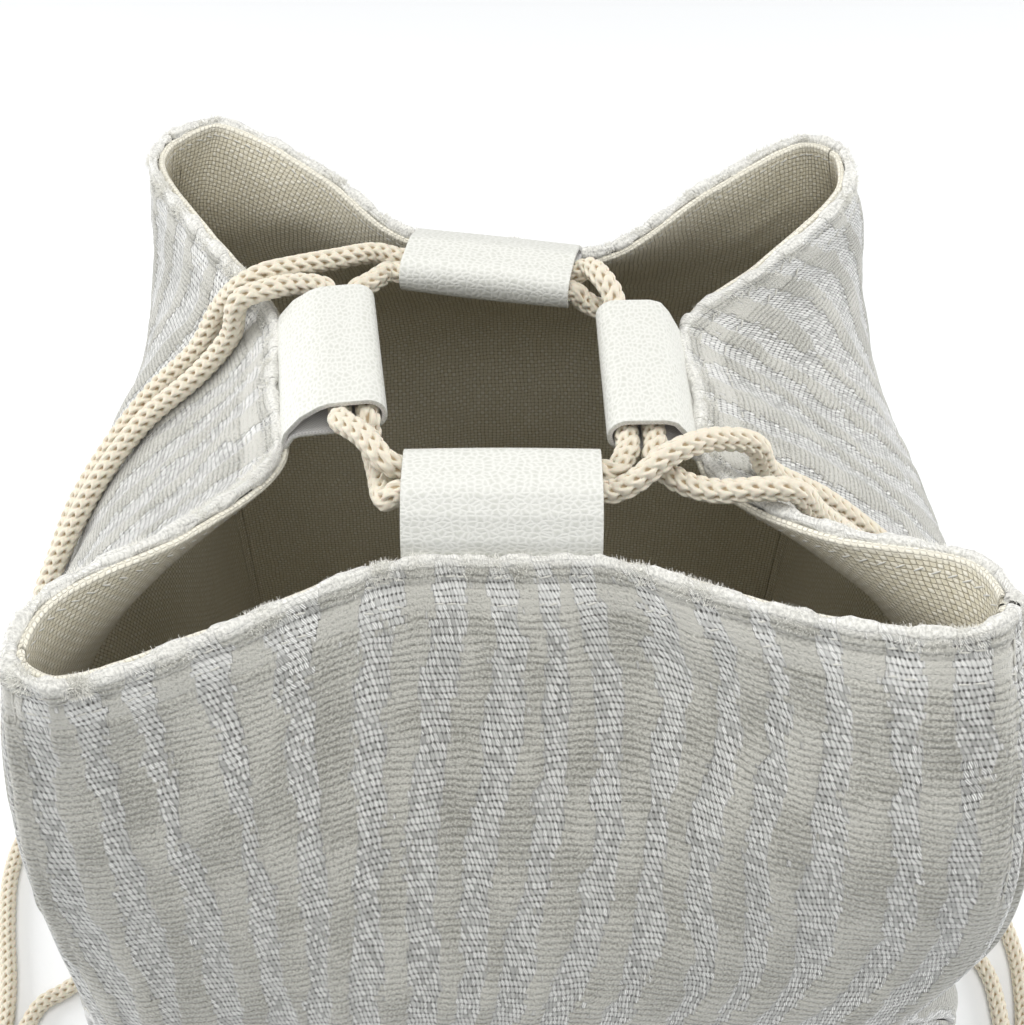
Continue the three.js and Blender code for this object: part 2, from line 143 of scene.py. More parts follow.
class WallLoft:
    """The velvet's outer face: u runs 0 to 4 once round, v from 0 at the floor to top at the rim."""

    BODY = (
        BodyRing((0, 0), ((-97, -97), (97, -97), (97, 97), (-97, 97)), (2, 2, 2, 2), 0),
        BodyRing((14, 14), ((-99, -99), (99, -99), (99, 99), (-99, 99)), (4, 4, 4, 4), 0),
        BodyRing((62, 62), ((-99, -99), (101, -99), (100, 99), (-99, 99)), (6, 6, 6, 6), 0),
        BodyRing((108, 108), ((-98, -100), (102, -100), (100, 99), (-99, 99)), (4, 7, 5, 9), 0),
        BodyRing((136, 136), ((-88, -111), (84, -111), (98, 98), (-98, 98)), (4, 27, 15, 26), 0),
        BodyRing((160, 156), ((-91, -106), (95, -107), (99, 95), (-99, 96)), (3, 16, 13, 20), 0.1),
        BodyRing((186, 180), ((-93, -100), (96, -104), (96, 89), (-98, 92)), (-10, 0, -1, 4), 0.5),
        BodyRing((208, 202), ((-92.5, -91), (95, -91), (91, 83), (-95, 88)), (-21, -25, -18, -21), 0.85),
    )
    RIM = (
        ((0, -90.5, -83, 228), (0.07, -79.5, -89, 227), (0.2, -57.5, -75.5, 223), (0.36, -24, -54.5, 220.3),
         (0.5, -2, -53, 220), (0.64, 20, -54, 220.3), (0.8, 54, -70.5, 224), (0.93, 81, -78, 229)),
        ((0, 92.5, -72, 230), (0.07, 88, -60.5, 229.5), (0.2, 62, -48.5, 226), (0.36, 42, -28, 220.6),
         (0.5, 41, -3, 220), (0.64, 40.5, 20, 220.3), (0.8, 61, 37.5, 223), (0.93, 84, 61, 228)),
        ((0, 86, 79, 230), (0.07, 74, 85, 229.5), (0.2, 47.5, 68, 226), (0.36, 22, 49, 220.4),
         (0.5, -2, 53, 220), (0.64, -26, 57, 220.4), (0.8, -48, 75.5, 226), (0.93, -76, 93, 230)),
        ((0, -90, 86, 230), (0.07, -92.5, 73, 229), (0.2, -80, 54, 225), (0.36, -57, 24, 220.4),
         (0.5, -54, 0, 220), (0.64, -50, -23, 220.4), (0.8, -65, -48, 225.5), (0.93, -87, -68, 228.5)),
    )
    OUTWARD = ((0, -1), (1, 0), (0, 1), (-1, 0))
    STATIONS = (0, 0.07, 0.2, 0.36, 0.5, 0.64, 0.8, 0.93)
    CORNER_ROUND = 2.5
    STEP = 0.01
    # Repeats along a side and up a level, and height in mm
    BROAD_FOLDS = (6.0, 1.1, 1.0)
    FINE_FOLDS = (19.0, 2.6, 0.35)
    FOLD_SLANT = 2.0

    def __init__(self) -> None:
        """Works out the points of every ring."""
        rim = [[side + s, x, y, z] for side, points in enumerate(self.RIM) for s, x, y, z in points]
        self.rings = [np.array(self._body_ring(ring)) for ring in self.BODY] + [np.array(rim, float)]
        self.top = len(self.rings) - 1
        self.folds = SmoothNoise(11)
        self.creases = SmoothNoise(12)

    @staticmethod
    def _side_shape(s: float, lobe: float) -> float:
        """Returns a side's share of its outward movement at s: a bow, or the flat middle of an ear."""
        flat = float(smoothstep(np.array(min(s, 1 - s)), 0.08, 0.36))
        return (1 - lobe) * math.sin(math.pi * s) + lobe * flat

    def _body_ring(self, ring: BodyRing) -> list[list[float]]:
        """Works out one ring's points from its corners.

        Args:
            ring: heights, corners and bows of the ring.

        Returns:
            Rows of u, x, y and z once round the bag.
        """
        points = []
        for side, (corner, (nx, ny)) in enumerate(zip(ring.corners, self.OUTWARD)):
            nxt = ring.corners[(side + 1) % 4]
            for s in self.STATIONS:
                share = self._side_shape(s, ring.lobe)
                out = ring.middle[side] * share + (self.CORNER_ROUND if s in (0.07, 0.93) else 0)
                x = corner[0] + (nxt[0] - corner[0]) * s + nx * out
                y = corner[1] + (nxt[1] - corner[1]) * s + ny * out
                points.append([side + s, x, y, ring.z[0] + (ring.z[1] - ring.z[0]) * share])
        return points

    @staticmethod
    def _on_ring(ring: Array, u: Array) -> Array:
        """Follows a smooth closed curve through a ring's points.

        Args:
            ring: rows of u, x, y and z.
            u: where on the ring, 0 to 4 once round.

        Returns:
            The curve's points.
        """
        count = len(ring)
        turn = np.mod(u, 4.0)
        i = np.searchsorted(ring[:, 0], turn, side="right") - 1

        def at(k: Array) -> tuple[Array, Array]:
            """Returns the ring's points k with their u, past either end too."""
            return ring[k % count, 0] + 4.0 * np.floor_divide(k, count), ring[k % count, 1:]

        (ua, a), (ub, b), (uc, c), (ud, d) = at(i - 1), at(i), at(i + 1), at(i + 2)
        h = uc - ub
        slope_b = (c - a) * (h / (uc - ua))[..., None]
        slope_c = (d - b) * (h / (ud - ub))[..., None]
        return hermite(b, slope_b, c, slope_c, ((turn - ub) / h)[..., None])

    def point(self, u: Array, v: Array) -> Array:
        """Returns the points of the face.

        Args:
            u: places once round, 0 to 4.
            v: levels, 0 at the floor to top at the rim.

        Returns:
            The points in mm.
        """
        u, v = np.broadcast_arrays(np.asarray(u, float), np.asarray(v, float))
        curves = np.stack([self._on_ring(ring, u) for ring in self.rings])
        i = np.clip(np.floor(v).astype(int), 0, self.top - 1)

        def at(k: Array) -> Array:
            """Returns the rings' curves at level k."""
            return np.take_along_axis(curves, np.clip(k, 0, self.top)[None, ..., None], axis=0)[0]

        a, b, c, d = at(i - 1), at(i), at(i + 1), at(i + 2)
        slope_b = np.where((i == 0)[..., None], c - b, (c - a) * 0.5)
        slope_c = np.where((i == self.top - 1)[..., None], c - b, (d - b) * 0.5)
        return hermite(b, slope_b, c, slope_c, (v - i)[..., None])

    def normal(self, u: Array, v: Array) -> Array:
        """Returns the face's outward directions at u, v."""
        along = self.point(u + self.STEP, v) - self.point(u - self.STEP, v)
        return unit(np.cross(along, self.rise(u, v)))

    def rise(self, u: Array, v: Array) -> Array:
        """Returns the directions in which v grows at u, v."""
        high, low = np.minimum(v + self.STEP, self.top), np.maximum(v - self.STEP, 0)
        return unit(self.point(u, high) - self.point(u, low))

    def drape(self, u: Array, v: Array) -> Array:
        """Works out the soft folds of the cloth.

        Args:
            u: places once round, 0 to 4.
            v: levels, 0 at the floor to top at the rim.

        Returns:
            How far the folds stand out, in mm.
        """
        s = np.mod(u, 1.0)
        free = smoothstep(v, 0.5, 2.0) * smoothstep(np.minimum(s, 1 - s), 0.0, 0.1)
        free = free * (1 - 0.8 * smoothstep(v, 7.0, 7.9))
        across, along, high = self.BROAD_FOLDS
        broad = self.folds(u * across, v * along) * high
        across, along, high = self.FINE_FOLDS
        fine = self.creases(u * across + v * self.FOLD_SLANT, v * along) * high
        return free * (broad + fine)

    def inside(self, u: Array, v: Array, depth: Array | float) -> Array:
        """Returns points under the draped outer face.

        Args:
            u: places once round, 0 to 4.
            v: levels, 0 at the floor to top at the rim.
            depth: how far under the face, in mm, or below 0 for outside it.

        Returns:
            The points in mm.
        """
        u, v, depth = np.broadcast_arrays(*(np.asarray(a, float) for a in (u, v, depth)))
        corner = np.round(u)
        facing = np.where(np.abs(u - corner) < self.STEP, corner, u)
        return self.point(u, v) + self.normal(facing, v) * (self.drape(u, v) - depth)[..., None]

    def level_at(self, z: float) -> float:
        """Finds a level of the walls near the base.

        Args:
            z: height over the floor, in mm.

        Returns:
            The level v at which the walls reach that height.
        """
        low, high = 0.0, float(self.top)
        for _ in range(40):
            middle = (low + high) / 2
            if self.point(np.array(0.5), np.array(middle))[2] < z:
                low = middle
            else:
                high = middle
        return low


# Meshes


def grid_faces(rows: int, columns: int, closed: bool = False) -> Array:
    """Returns the quads of a grid of points, rows first.

    Args:
        rows: rows of points.
        columns: points in each row.
        closed: whether each row joins its own start.

    Returns:
        Four point numbers for each quad.
    """
    across = columns if closed else columns - 1
    r, c = np.meshgrid(np.arange(rows - 1), np.arange(across), indexing="ij")
    nxt = (c + 1) % columns
    quads = np.stack([r * columns + c, r * columns + nxt, (r + 1) * columns + nxt, (r + 1) * columns + c], -1)
    return quads.reshape(-1, 4)


@dataclass
class Shape:
    """Points in mm with quads, and what the materials read from them."""

    points: Array
    quads: Array
    uv: Array
    marks: dict[str, Array]
    slots: Array | None = None

    @staticmethod
    def joined(shapes: list["Shape"]) -> "Shape":
        """Joins several shapes.

        Args:
            shapes: the shapes, all with slots or none of them.

        Returns:
            One shape, with the marks that all of them have.
        """
        starts = np.cumsum([0] + [len(s.points) for s in shapes[:-1]])
        names = set.intersection(*[set(s.marks) for s in shapes])
        slots = None
        if shapes[0].slots is not None:
            slots = np.concatenate([s.slots for s in shapes])
        return Shape(
            np.concatenate([s.points for s in shapes]),
            np.concatenate([s.quads + start for s, start in zip(shapes, starts)]),
            np.concatenate([s.uv for s in shapes]),
            {name: np.concatenate([s.marks[name] for s in shapes]) for name in names},
            slots,
        )

    def object(self, name: str, *materials: bpy.types.Material) -> bpy.types.Object:
        """Makes the Blender object, in metres.

        Args:
            name: the piece's name.
            materials: one for each number in slots.

        Returns:
            The object, linked to the scene.
        """
        mesh = bpy.data.meshes.new(name)
        mesh.vertices.add(len(self.points))
        mesh.vertices.foreach_set("co", (self.points * MM).astype(np.float32).ravel())
        mesh.loops.add(self.quads.size)
        mesh.loops.foreach_set("vertex_index", self.quads.astype(np.int32).ravel())
        mesh.polygons.add(len(self.quads))
        mesh.polygons.foreach_set("loop_start", np.arange(0, self.quads.size, 4, dtype=np.int32))
        mesh.polygons.foreach_set("use_smooth", np.ones(len(self.quads), bool))
        if self.slots is not None:
            mesh.polygons.foreach_set("material_index", self.slots.astype(np.int32))
        mesh.update(calc_edges=True)
        layer = mesh.uv_layers.new(name="Cloth")
        layer.data.foreach_set("uv", self.uv[self.quads.ravel()].astype(np.float32).ravel())
        for mark, values in self.marks.items():
            attribute = mesh.attributes.new(mark, "FLOAT", "POINT")
            attribute.data.foreach_set("value", values.astype(np.float32).ravel())
        for material in materials:
            mesh.materials.append(material)
        made = bpy.data.objects.new(name, mesh)
        bpy.context.scene.collection.objects.link(made)
        log.info("%s: %d points", name, len(self.points))
        return made


def sheet_shape(points: Array, uv: Array, **marks: Array) -> Shape:
    """Makes the shape of a grid of points.

    Args:
        points: the points in mm, rows first.
        uv: flat cloth coordinates of the points, in mm.
        marks: what the materials read, one value for each point.

    Returns:
        The open sheet.
    """
    rows, columns = points.shape[:2]
    flat = {name: values.reshape(-1) for name, values in marks.items()}
    return Shape(points.reshape(-1, 3), grid_faces(rows, columns), uv.reshape(-1, 2), flat)


# Finishes


class Graph:
    """Short calls for building one material's nodes."""

    def __init__(self, name: str) -> None:
        """Makes the material and clears its nodes.

        Args:
            name: the material's name.
        """
        self.material = bpy.data.materials.new(name)
        self.material.use_nodes = True
        self.tree = self.material.node_tree
        self.tree.nodes.clear()

    def node(self, kind: str, inputs: dict | None = None, **settings: object) -> bpy.types.Node:
        """Adds a node.

        Args:
            kind: the node's type.
            inputs: values or sockets for its inputs.
            settings: its own settings.

        Returns:
            The node.
        """
        node = self.tree.nodes.new(kind)
        for key, value in settings.items():
            setattr(node, key, value)
        for key, value in (inputs or {}).items():
            self.feed(node.inputs[key], value)
        return node

    def feed(self, socket: Socket, value: object) -> None:
        """Links or sets one input.

        Args:
            socket: the input.
            value: a socket to link, or a number, colour or vector.
        """
        if isinstance(value, Socket):
            self.tree.links.new(value, socket)
        elif isinstance(value, tuple) and len(value) == 3 and socket.type == "RGBA":
            socket.default_value = (*value, 1.0)
        else:
            socket.default_value = value

    def math(self, kind: str, a: Value, b: Value = 0.0, clamp: bool = False) -> Socket:
        """Returns a calculation's result."""
        return self.node("ShaderNodeMath", {0: a, 1: b}, operation=kind, use_clamp=clamp).outputs[0]

    def times(self, a: Value, b: Value) -> Socket:
        """Returns a times b."""
        return self.math("MULTIPLY", a, b)

    def plus(self, a: Value, b: Value, clamp: bool = False) -> Socket:
        """Returns a plus b, held between 0 and 1 with clamp."""
        return self.math("ADD", a, b, clamp)

    def less(self, a: Value, b: Value) -> Socket:
        """Returns a less b."""
        return self.math("SUBTRACT", a, b)

    def spread(self, noise: Socket, width: float) -> Socket:
        """Returns noise moved to lie around 0 and stretched by width."""
        return self.times(self.less(noise, 0.5), width)

    def off_middle(self, share: Socket) -> Socket:
        """Returns 0 where share is a half and 1 where it is 0 or 1."""
        return self.times(self.math("ABSOLUTE", self.less(share, 0.5)), 2.0)

    def luck(self, across: Socket, along: Socket) -> bpy.types.Node:
        """Returns a node of random numbers, the same all over a cell with these whole numbers."""
        cell = self.node("ShaderNodeCombineXYZ", {0: across, 1: along}).outputs[0]
        return self.node("ShaderNodeTexWhiteNoise", {"Vector": cell}, noise_dimensions="2D")

    def sine(self, value: Value, pitch: float) -> Socket:
        """Returns a wave between -1 and 1 that repeats every pitch."""
        return self.math("SINE", self.math("MULTIPLY", value, 2 * math.pi / pitch))

    def ramp(self, value: Value, low: float, high: float, to_low: float = 0.0,
             to_high: float = 1.0) -> Socket:
        """Returns value mapped smoothly from one range to another."""
        inputs = {"Value": value, 1: low, 2: high, 3: to_low, 4: to_high}
        return self.node("ShaderNodeMapRange", inputs, interpolation_type="SMOOTHSTEP").outputs[0]

    def mix(self, share: Value, a: Socket | Rgb, b: Socket | Rgb) -> Socket:
        """Mixes two colours.

        Args:
            share: 0 for the first, 1 for the second.
            a: the first colour.
            b: the second colour.

        Returns:
            The mixed colour.
        """
        node = self.node("ShaderNodeMix", data_type="RGBA")
        for index, value in ((0, share), (6, a), (7, b)):
            self.feed(node.inputs[index], value)
        return node.outputs[2]

    def noise(self, vector: Socket, scale: float, detail: float = 2.0) -> Socket:
        """Returns noise around 0.5."""
        inputs = {"Vector": vector, "Scale": scale, "Detail": detail}
        return self.node("ShaderNodeTexNoise", inputs).outputs[0]

    def mark(self, name: str) -> Socket:
        """Returns a mesh attribute."""
        return self.node("ShaderNodeAttribute", attribute_name=name).outputs["Fac"]

    def cloth(self) -> tuple[Socket, Socket, Socket]:
        """Reads the flat cloth's coordinates, in mm.

        Returns:
            The vector, its part across and its part along the cloth.
        """
        vector = self.node("ShaderNodeUVMap", uv_map="Cloth").outputs[0]
        split = self.node("ShaderNodeSeparateXYZ", {0: vector})
        return vector, split.outputs[0], split.outputs[1]

    def finish(self, height: Socket, deep_mm: float, strength: float,
               **inputs: object) -> bpy.types.Material:
        """Adds the bump and the surface.

        Args:
            height: the bump's height, 0 to 1.
            deep_mm: how deep it is in mm.
            strength: how much of it shows.
            inputs: the surface's own inputs.

        Returns:
            The material.
        """
        bump = self.node("ShaderNodeBump", {"Strength": strength, "Distance": deep_mm * MM, "Height": height})
        named = {key.replace("_", " "): value for key, value in inputs.items()}
        surface = self.node("ShaderNodeBsdfPrincipled", {"Normal": bump.outputs[0], **named})
        out = self.node("ShaderNodeOutputMaterial")
        self.tree.links.new(surface.outputs[0], out.inputs[0])
        return self.material


@dataclass(frozen=True)
class VelvetFinish:
    """Woven satin ground in rows of slanted threads, with raised, ribbed pile in stripes.

    A name ending in fine is a noise's frequency per mm, and a pair holds a ramp's ends.
    """

    thread: Rgb = (0.64, 0.64, 0.615)
    # Painted shade: colour at the sides and ends of the ground's threads
    between: Rgb = (0.21, 0.21, 0.195)
    # Painted shade: colour in the pin holes between threads
    pin_hole_shade: Rgb = (0.05, 0.048, 0.042)
    # Painted highlight: colour of the glints on the satin threads
    painted_glint: Rgb = (0.97, 0.965, 0.94)
    pile_low: Rgb = (0.22, 0.217, 0.185)
    pile_high: Rgb = (0.55, 0.54, 0.49)
    # Rolled rim edge: pale worn fibres, partly a painted highlight on the rim's top
    worn: Rgb = (0.93, 0.92, 0.87)
    row_mm: float = 1.45
    thread_mm: float = 0.92
    wobble_mm: float = 4.0
    broad_fine: float = 0.06
    fuzz_fine: float = 1.9
    fuzz_contrast: float = 2.7
    row_apart_mm: float = 3.7
    ragged_fine: float = 0.55
    ragged: float = 2.3
    pile_edge: Pair = (0.4, 0.6)
    uneven_fine: float = 0.8
    uneven: Pair = (0.55, 1.15)
    rib_power: float = 1.7
    # Weight of the painted shade in the valleys between pile ribs
    rib_shade_share: float = 0.6
    nap_share: float = 0.4
    flattened: float = 0.5
    # Painted highlight: the pressed hem band under the rim is made lighter
    pressed_pile_highlight: float = 0.36
    pressed_ground_highlight: float = 0.25
    fringe_edge: Pair = (0.3, 0.65)
    fringe_dark: float = 0.7
    fringe_share: float = 0.75
    rib_height: float = 0.6
    fuzz_height: float = 1.1
    thread_height: float = 0.45

    def material(self) -> bpy.types.Material:
        """Builds the material.

        Returns:
            The material.
        """
        g = Graph("velvet")
        vector, across, along = g.cloth()
        wobble = g.spread(g.noise(vector, self.broad_fine), self.wobble_mm)
        fuzz = g.noise(vector, self.fuzz_fine, 4.0)
        rows = g.math("DIVIDE", g.plus(along, wobble), self.row_mm)
        row = g.math("FLOOR", rows)
        in_row = g.less(rows, row)
        off_row = g.off_middle(in_row)
        row_place = g.node("ShaderNodeCombineXYZ", {0: across, 1: g.times(row, self.row_apart_mm)}).outputs[0]
        ragged = g.spread(g.noise(row_place, self.ragged_fine), self.ragged)
        pile = g.ramp(g.plus(g.mark("pile"), ragged), *self.pile_edge)
        ground, thread = self._ground(g, across, row, in_row, off_row, vector)
        pressed = g.mark("pressed")
        uneven = g.ramp(g.noise(row_place, self.uneven_fine), *CLOUDS, *self.uneven)
        uneven = g.times(uneven, g.less(1.0, g.times(pressed, self.flattened)))
        # Painted shade: the pile darkens in the valleys between its ribs
        rib = g.less(1.0, g.times(g.math("POWER", off_row, self.rib_power), uneven))
        nap = g.ramp(g.noise(vector, self.broad_fine), *CLOUDS)
        tone = g.plus(g.times(rib, self.rib_shade_share), g.times(nap, self.nap_share))
        # Painted highlight: lighter pile in the pressed hem band
        tone = g.plus(tone, g.times(pressed, self.pressed_pile_highlight))
        tone = g.plus(tone, g.spread(fuzz, self.fuzz_contrast), clamp=True)
        colour = g.mix(pile, ground, g.mix(tone, self.pile_low, self.pile_high))
        # Paler rolled edge: worn fibres, partly a painted highlight
        darker = tuple(c * self.fringe_dark for c in self.worn)
        fringe = g.mix(g.ramp(fuzz, *self.fringe_edge), darker, self.worn)
        colour = g.mix(g.times(g.mark("worn"), self.fringe_share), colour, fringe)
        high = g.plus(g.times(rib, self.rib_height), g.times(fuzz, self.fuzz_height))
        low = g.times(thread, self.thread_height)
        height = g.plus(low, g.times(pile, g.less(high, low)))
        rough = g.plus(g.times(pile, 0.4), 0.5)
        return g.finish(height, 0.5, 0.9, Base_Color=colour, Roughness=rough, Sheen_Weight=0.55,
                        Sheen_Roughness=0.5, Specular_IOR_Level=0.35)

    def _ground(self, g: Graph, across: Socket, row: Socket, in_row: Socket, off_row: Socket,
                vector: Socket) -> tuple[Socket, Socket]:
        """Builds the woven ground: slanted threads with pin holes at their ends.

        Args:
            g: the material's graph.
            across: place across the cloth, in mm.
            row: number of the row.
            in_row: share of the way up the row.
            off_row: 0 in the row's middle to 1 at its edges.
            vector: the cloth's coordinates.

        Returns:
            The ground's colour and its threads' height.
        """
        weave = SatinWeave()
        slant = g.plus(g.times(row, weave.row_shift), g.times(in_row, weave.slant))
        sway = g.spread(g.noise(vector, weave.sway_fine), weave.sway)
        place = g.plus(g.plus(g.math("DIVIDE", across, self.thread_mm), slant), sway)
        luck = g.luck(g.math("FLOOR", place), row).outputs["Color"]
        open_luck, lit_luck, dull_luck = g.node("ShaderNodeSeparateColor", {0: luck}).outputs
        off_thread = g.off_middle(g.math("FRACT", place))
        rounded = g.less(1.0, g.times(g.math("POWER", off_thread, weave.side_power), weave.sunk))
        ends = g.times(g.math("POWER", off_row, weave.end_power), weave.sunk)
        rounded = g.times(rounded, g.less(1.0, ends))
        strand = g.sine(g.plus(place, g.times(in_row, weave.twist)), weave.strand)
        # Painted shade in the pin holes at the threads' ends
        hole_shade = g.times(g.ramp(off_thread, *weave.hole_across), g.ramp(off_row, *weave.hole_along))
        hole_shade = g.times(hole_shade, g.ramp(open_luck, *weave.hole_luck))
        # Painted highlight: glints along the strands of some threads
        painted_shine = g.times(g.ramp(lit_luck, *weave.shine_luck), g.ramp(rounded, *weave.shine_top))
        painted_shine = g.times(painted_shine, g.ramp(strand, *weave.shine_strand))
        # Painted shade at the threads' sides and ends and between strands, with a random dullness for each
        # stitch
        dull = g.times(g.ramp(dull_luck, *weave.dull_luck), g.ramp(strand, *weave.dull_strand))
        colour = g.mix(g.times(rounded, dull), self.between, self.thread)
        colour = g.mix(painted_shine, colour, self.painted_glint)
        # Painted highlight: lighter ground in the pressed hem band
        colour = g.mix(g.times(g.mark("pressed"), self.pressed_ground_highlight), colour, self.painted_glint)
        return g.mix(hole_shade, colour, self.pin_hole_shade), rounded


@dataclass(frozen=True)
class SatinWeave:
    """How the velvet's ground is woven, in shares of a thread or of a row.

    Two numbers are a ramp's ends, and four are its ends and what it gives there.
    """

    row_shift: float = 0.5
    slant: float = 0.55
    sway_fine: float = 0.25
    sway: float = 1.6
    side_power: float = 3.0
    end_power: float = 6.0
    sunk: float = 0.6
    twist: float = 0.45
    strand: float = 0.4
    # Where the painted shade of the pin holes falls
    hole_across: Pair = (0.25, 0.75)
    hole_along: Pair = (0.45, 0.85)
    hole_luck: Ramp = (0.0, 0.7, 0.05, 1.0)
    # Where the painted glints fall
    shine_luck: Pair = (0.2, 0.75)
    shine_top: Pair = (0.5, 0.9)
    shine_strand: Pair = (0.0, 0.75)
    # Random dullness for each stitch, and painted shade between strands
    dull_luck: Ramp = (0.0, 1.0, 0.45, 1.0)
    dull_strand: Ramp = (-1.0, 0.6, 0.45, 1.0)


@dataclass(frozen=True)
class LinenFinish:
    """Coarse plain weave of the lining, with painted shade in its gaps and a painted highlight on raised
    crossings.
    """

    thread: Rgb = (0.76, 0.705, 0.545)
    # Painted shade: colour in the gaps between threads
    gap: Rgb = (0.45, 0.40, 0.28)
    # Pale slub flecks, and the painted highlight on raised crossings
    fleck_and_highlight: Rgb = (0.92, 0.885, 0.77)
    # Paler colour of the lining's worn rolled edge
    worn: Rgb = (0.84, 0.81, 0.71)
    pitch_mm: float = 1.2
    drift_mm: float = 1.6
    drift_fine: float = 0.12
    gap_edge: Pair = (0.0, 0.35)
    luck: Ramp = (0.0, 1.0, 0.35, 1.15)
    slub_fine: tuple[float, float, float] = (1.4, 0.12, 1.0)
    slub_edge: Pair = (0.35, 0.7)
    slub_share: float = 0.22
    rolled_edge_share: float = 0.7

    def material(self) -> bpy.types.Material:
        """Builds the material.

        Returns:
            The material.
        """
        g = Graph("linen")
        vector, across, along = g.cloth()
        drift = g.spread(g.noise(vector, self.drift_fine), self.drift_mm)
        places = [g.plus(place, drift) for place in (across, along)]
        warp, weft = (g.sine(place, 2 * self.pitch_mm) for place in places)
        over = g.plus(g.times(g.times(warp, weft), 0.5), 0.5)
        gaps = g.ramp(g.times(g.math("ABSOLUTE", warp), g.math("ABSOLUTE", weft)), *self.gap_edge)
        cell = [g.math("FLOOR", g.math("DIVIDE", place, self.pitch_mm)) for place in places]
        over = g.times(over, g.ramp(g.luck(*cell).outputs["Value"], *self.luck))
        slub = g.node("ShaderNodeMapping", {"Vector": vector, "Scale": self.slub_fine}).outputs[0]
        tint = g.ramp(g.noise(slub, 1.0), *self.slub_edge)
        # Painted shade in the gaps, and raised crossings painted lighter
        colour = g.mix(gaps, self.gap, g.mix(over, self.thread, self.fleck_and_highlight))
        colour = g.mix(g.times(tint, self.slub_share), colour, self.fleck_and_highlight)
        colour = g.mix(g.times(g.mark("worn"), self.rolled_edge_share), colour, self.worn)
        height = g.plus(g.times(over, 0.5), g.times(gaps, 0.5))
        return g.finish(height, 0.4, 0.9, Base_Color=colour, Roughness=0.9, Sheen_Weight=0.15,
                        Specular_IOR_Level=0.25)


@dataclass(frozen=True)
class LeatherFinish:
    """Pebbled face of the tabs: grey ivory cells between paler creases."""

    cell: Rgb = (0.585, 0.59, 0.54)
    crease: Rgb = (0.735, 0.735, 0.695)
    cell_mm: float = 1.25
    stretch: tuple[float, float, float] = (0.8, 1.2, 1.0)
    push: tuple[float, float, float] = (0.8, 0.8, 0.0)
    push_fine: float = 0.5
    broken: float = 0.22
    broken_fine: float = 1.7
    crease_edge: Pair = (-0.06, 0.42)
    shade: float = 0.35
    shade_fine: float = 0.4
    grain_fine: float = 5.0
    grain: float = 0.15

    def material(self) -> bpy.types.Material:
        """Builds the material.

        Returns:
            The material.
        """
        g = Graph("leather")
        vector, _, _ = g.cloth()
        clouds = {"Vector": vector, "Scale": self.push_fine, "Detail": 2.0}
        push = g.node("ShaderNodeTexNoise", clouds).outputs["Color"]
        moved = g.node("ShaderNodeVectorMath", {0: push, 1: self.push}, operation="MULTIPLY").outputs[0]
        place = g.node("ShaderNodeVectorMath", {0: vector, 1: moved}, operation="ADD").outputs[0]
        place = g.node("ShaderNodeMapping", {"Vector": place, "Scale": self.stretch}).outputs[0]
        cells = {"Vector": place, "Scale": 1 / self.cell_mm, "Randomness": 0.9}
        edge = g.node("ShaderNodeTexVoronoi", cells, feature="DISTANCE_TO_EDGE", voronoi_dimensions="2D")
        broken = g.plus(edge.outputs[0], g.spread(g.noise(vector, self.broken_fine), self.broken))
        pebble = g.ramp(broken, *self.crease_edge)
        shade = g.times(g.ramp(g.noise(vector, self.shade_fine), *CLOUDS), self.shade)
        colour = g.mix(pebble, self.crease, g.mix(shade, self.cell, self.crease))
        height = g.plus(pebble, g.times(g.noise(vector, self.grain_fine, 3.0), self.grain))
        return g.finish(height, 0.12, 0.7, Base_Color=colour, Roughness=0.5, Specular_IOR_Level=0.4)


@dataclass(frozen=True)
class BackingFinish:
    """Fine white knit on the tabs' inner face and cut edges."""

    pale: Rgb = (0.84, 0.83, 0.81)
    shade: Rgb = (0.62, 0.61, 0.60)
    knit_mm: float = 0.7

    def material(self) -> bpy.types.Material:
        """Builds the material.

        Returns:
            The material.
        """
        g = Graph("backing")
        _, across, along = g.cloth()
        knit = g.times(g.sine(across, self.knit_mm), g.sine(along, self.knit_mm))
        share = g.plus(g.times(knit, 0.5), 0.5)
        return g.finish(share, 0.1, 0.6, Base_Color=g.mix(share, self.shade, self.pale), Roughness=0.9)


@dataclass(frozen=True)
class CottonFinish:
    """Cream knitted cord, with painted shade in the holes between its stitches."""

    name: str = "cotton"
    pale: Rgb = (0.71, 0.655, 0.535)
    # Painted shade: colour in the holes between stitches
    hole_shade: Rgb = (0.38, 0.285, 0.17)
    hole_edge: Pair = (0.0, 0.62)
    fibre: tuple[float, float, float] = (3.0, 0.8, 1.0)
    fibre_fine: float = 1.6
    fibre_tone: float = 0.3
    fibre_height: float = 0.25

    def material(self) -> bpy.types.Material:
        """Builds the material.

        Returns:
            The material.
        """
        g = Graph(self.name)
        vector, _, _ = g.cloth()
        fibre = g.node("ShaderNodeMapping", {"Vector": vector, "Scale": self.fibre}).outputs[0]
        strand = g.noise(fibre, self.fibre_fine, 3.0)
        # Painted shade: darker where the knit lies low
        lift = g.ramp(g.mark("lift"), *self.hole_edge)
        tone = g.plus(lift, g.spread(strand, self.fibre_tone), clamp=True)
        height = g.plus(g.mark("lift"), g.times(strand, self.fibre_height))
        return g.finish(height, 0.25, 0.5, Base_Color=g.mix(tone, self.hole_shade, self.pale), Roughness=0.85,
                        Sheen_Weight=0.2, Subsurface_Weight=0.08, Subsurface_Scale=0.002)


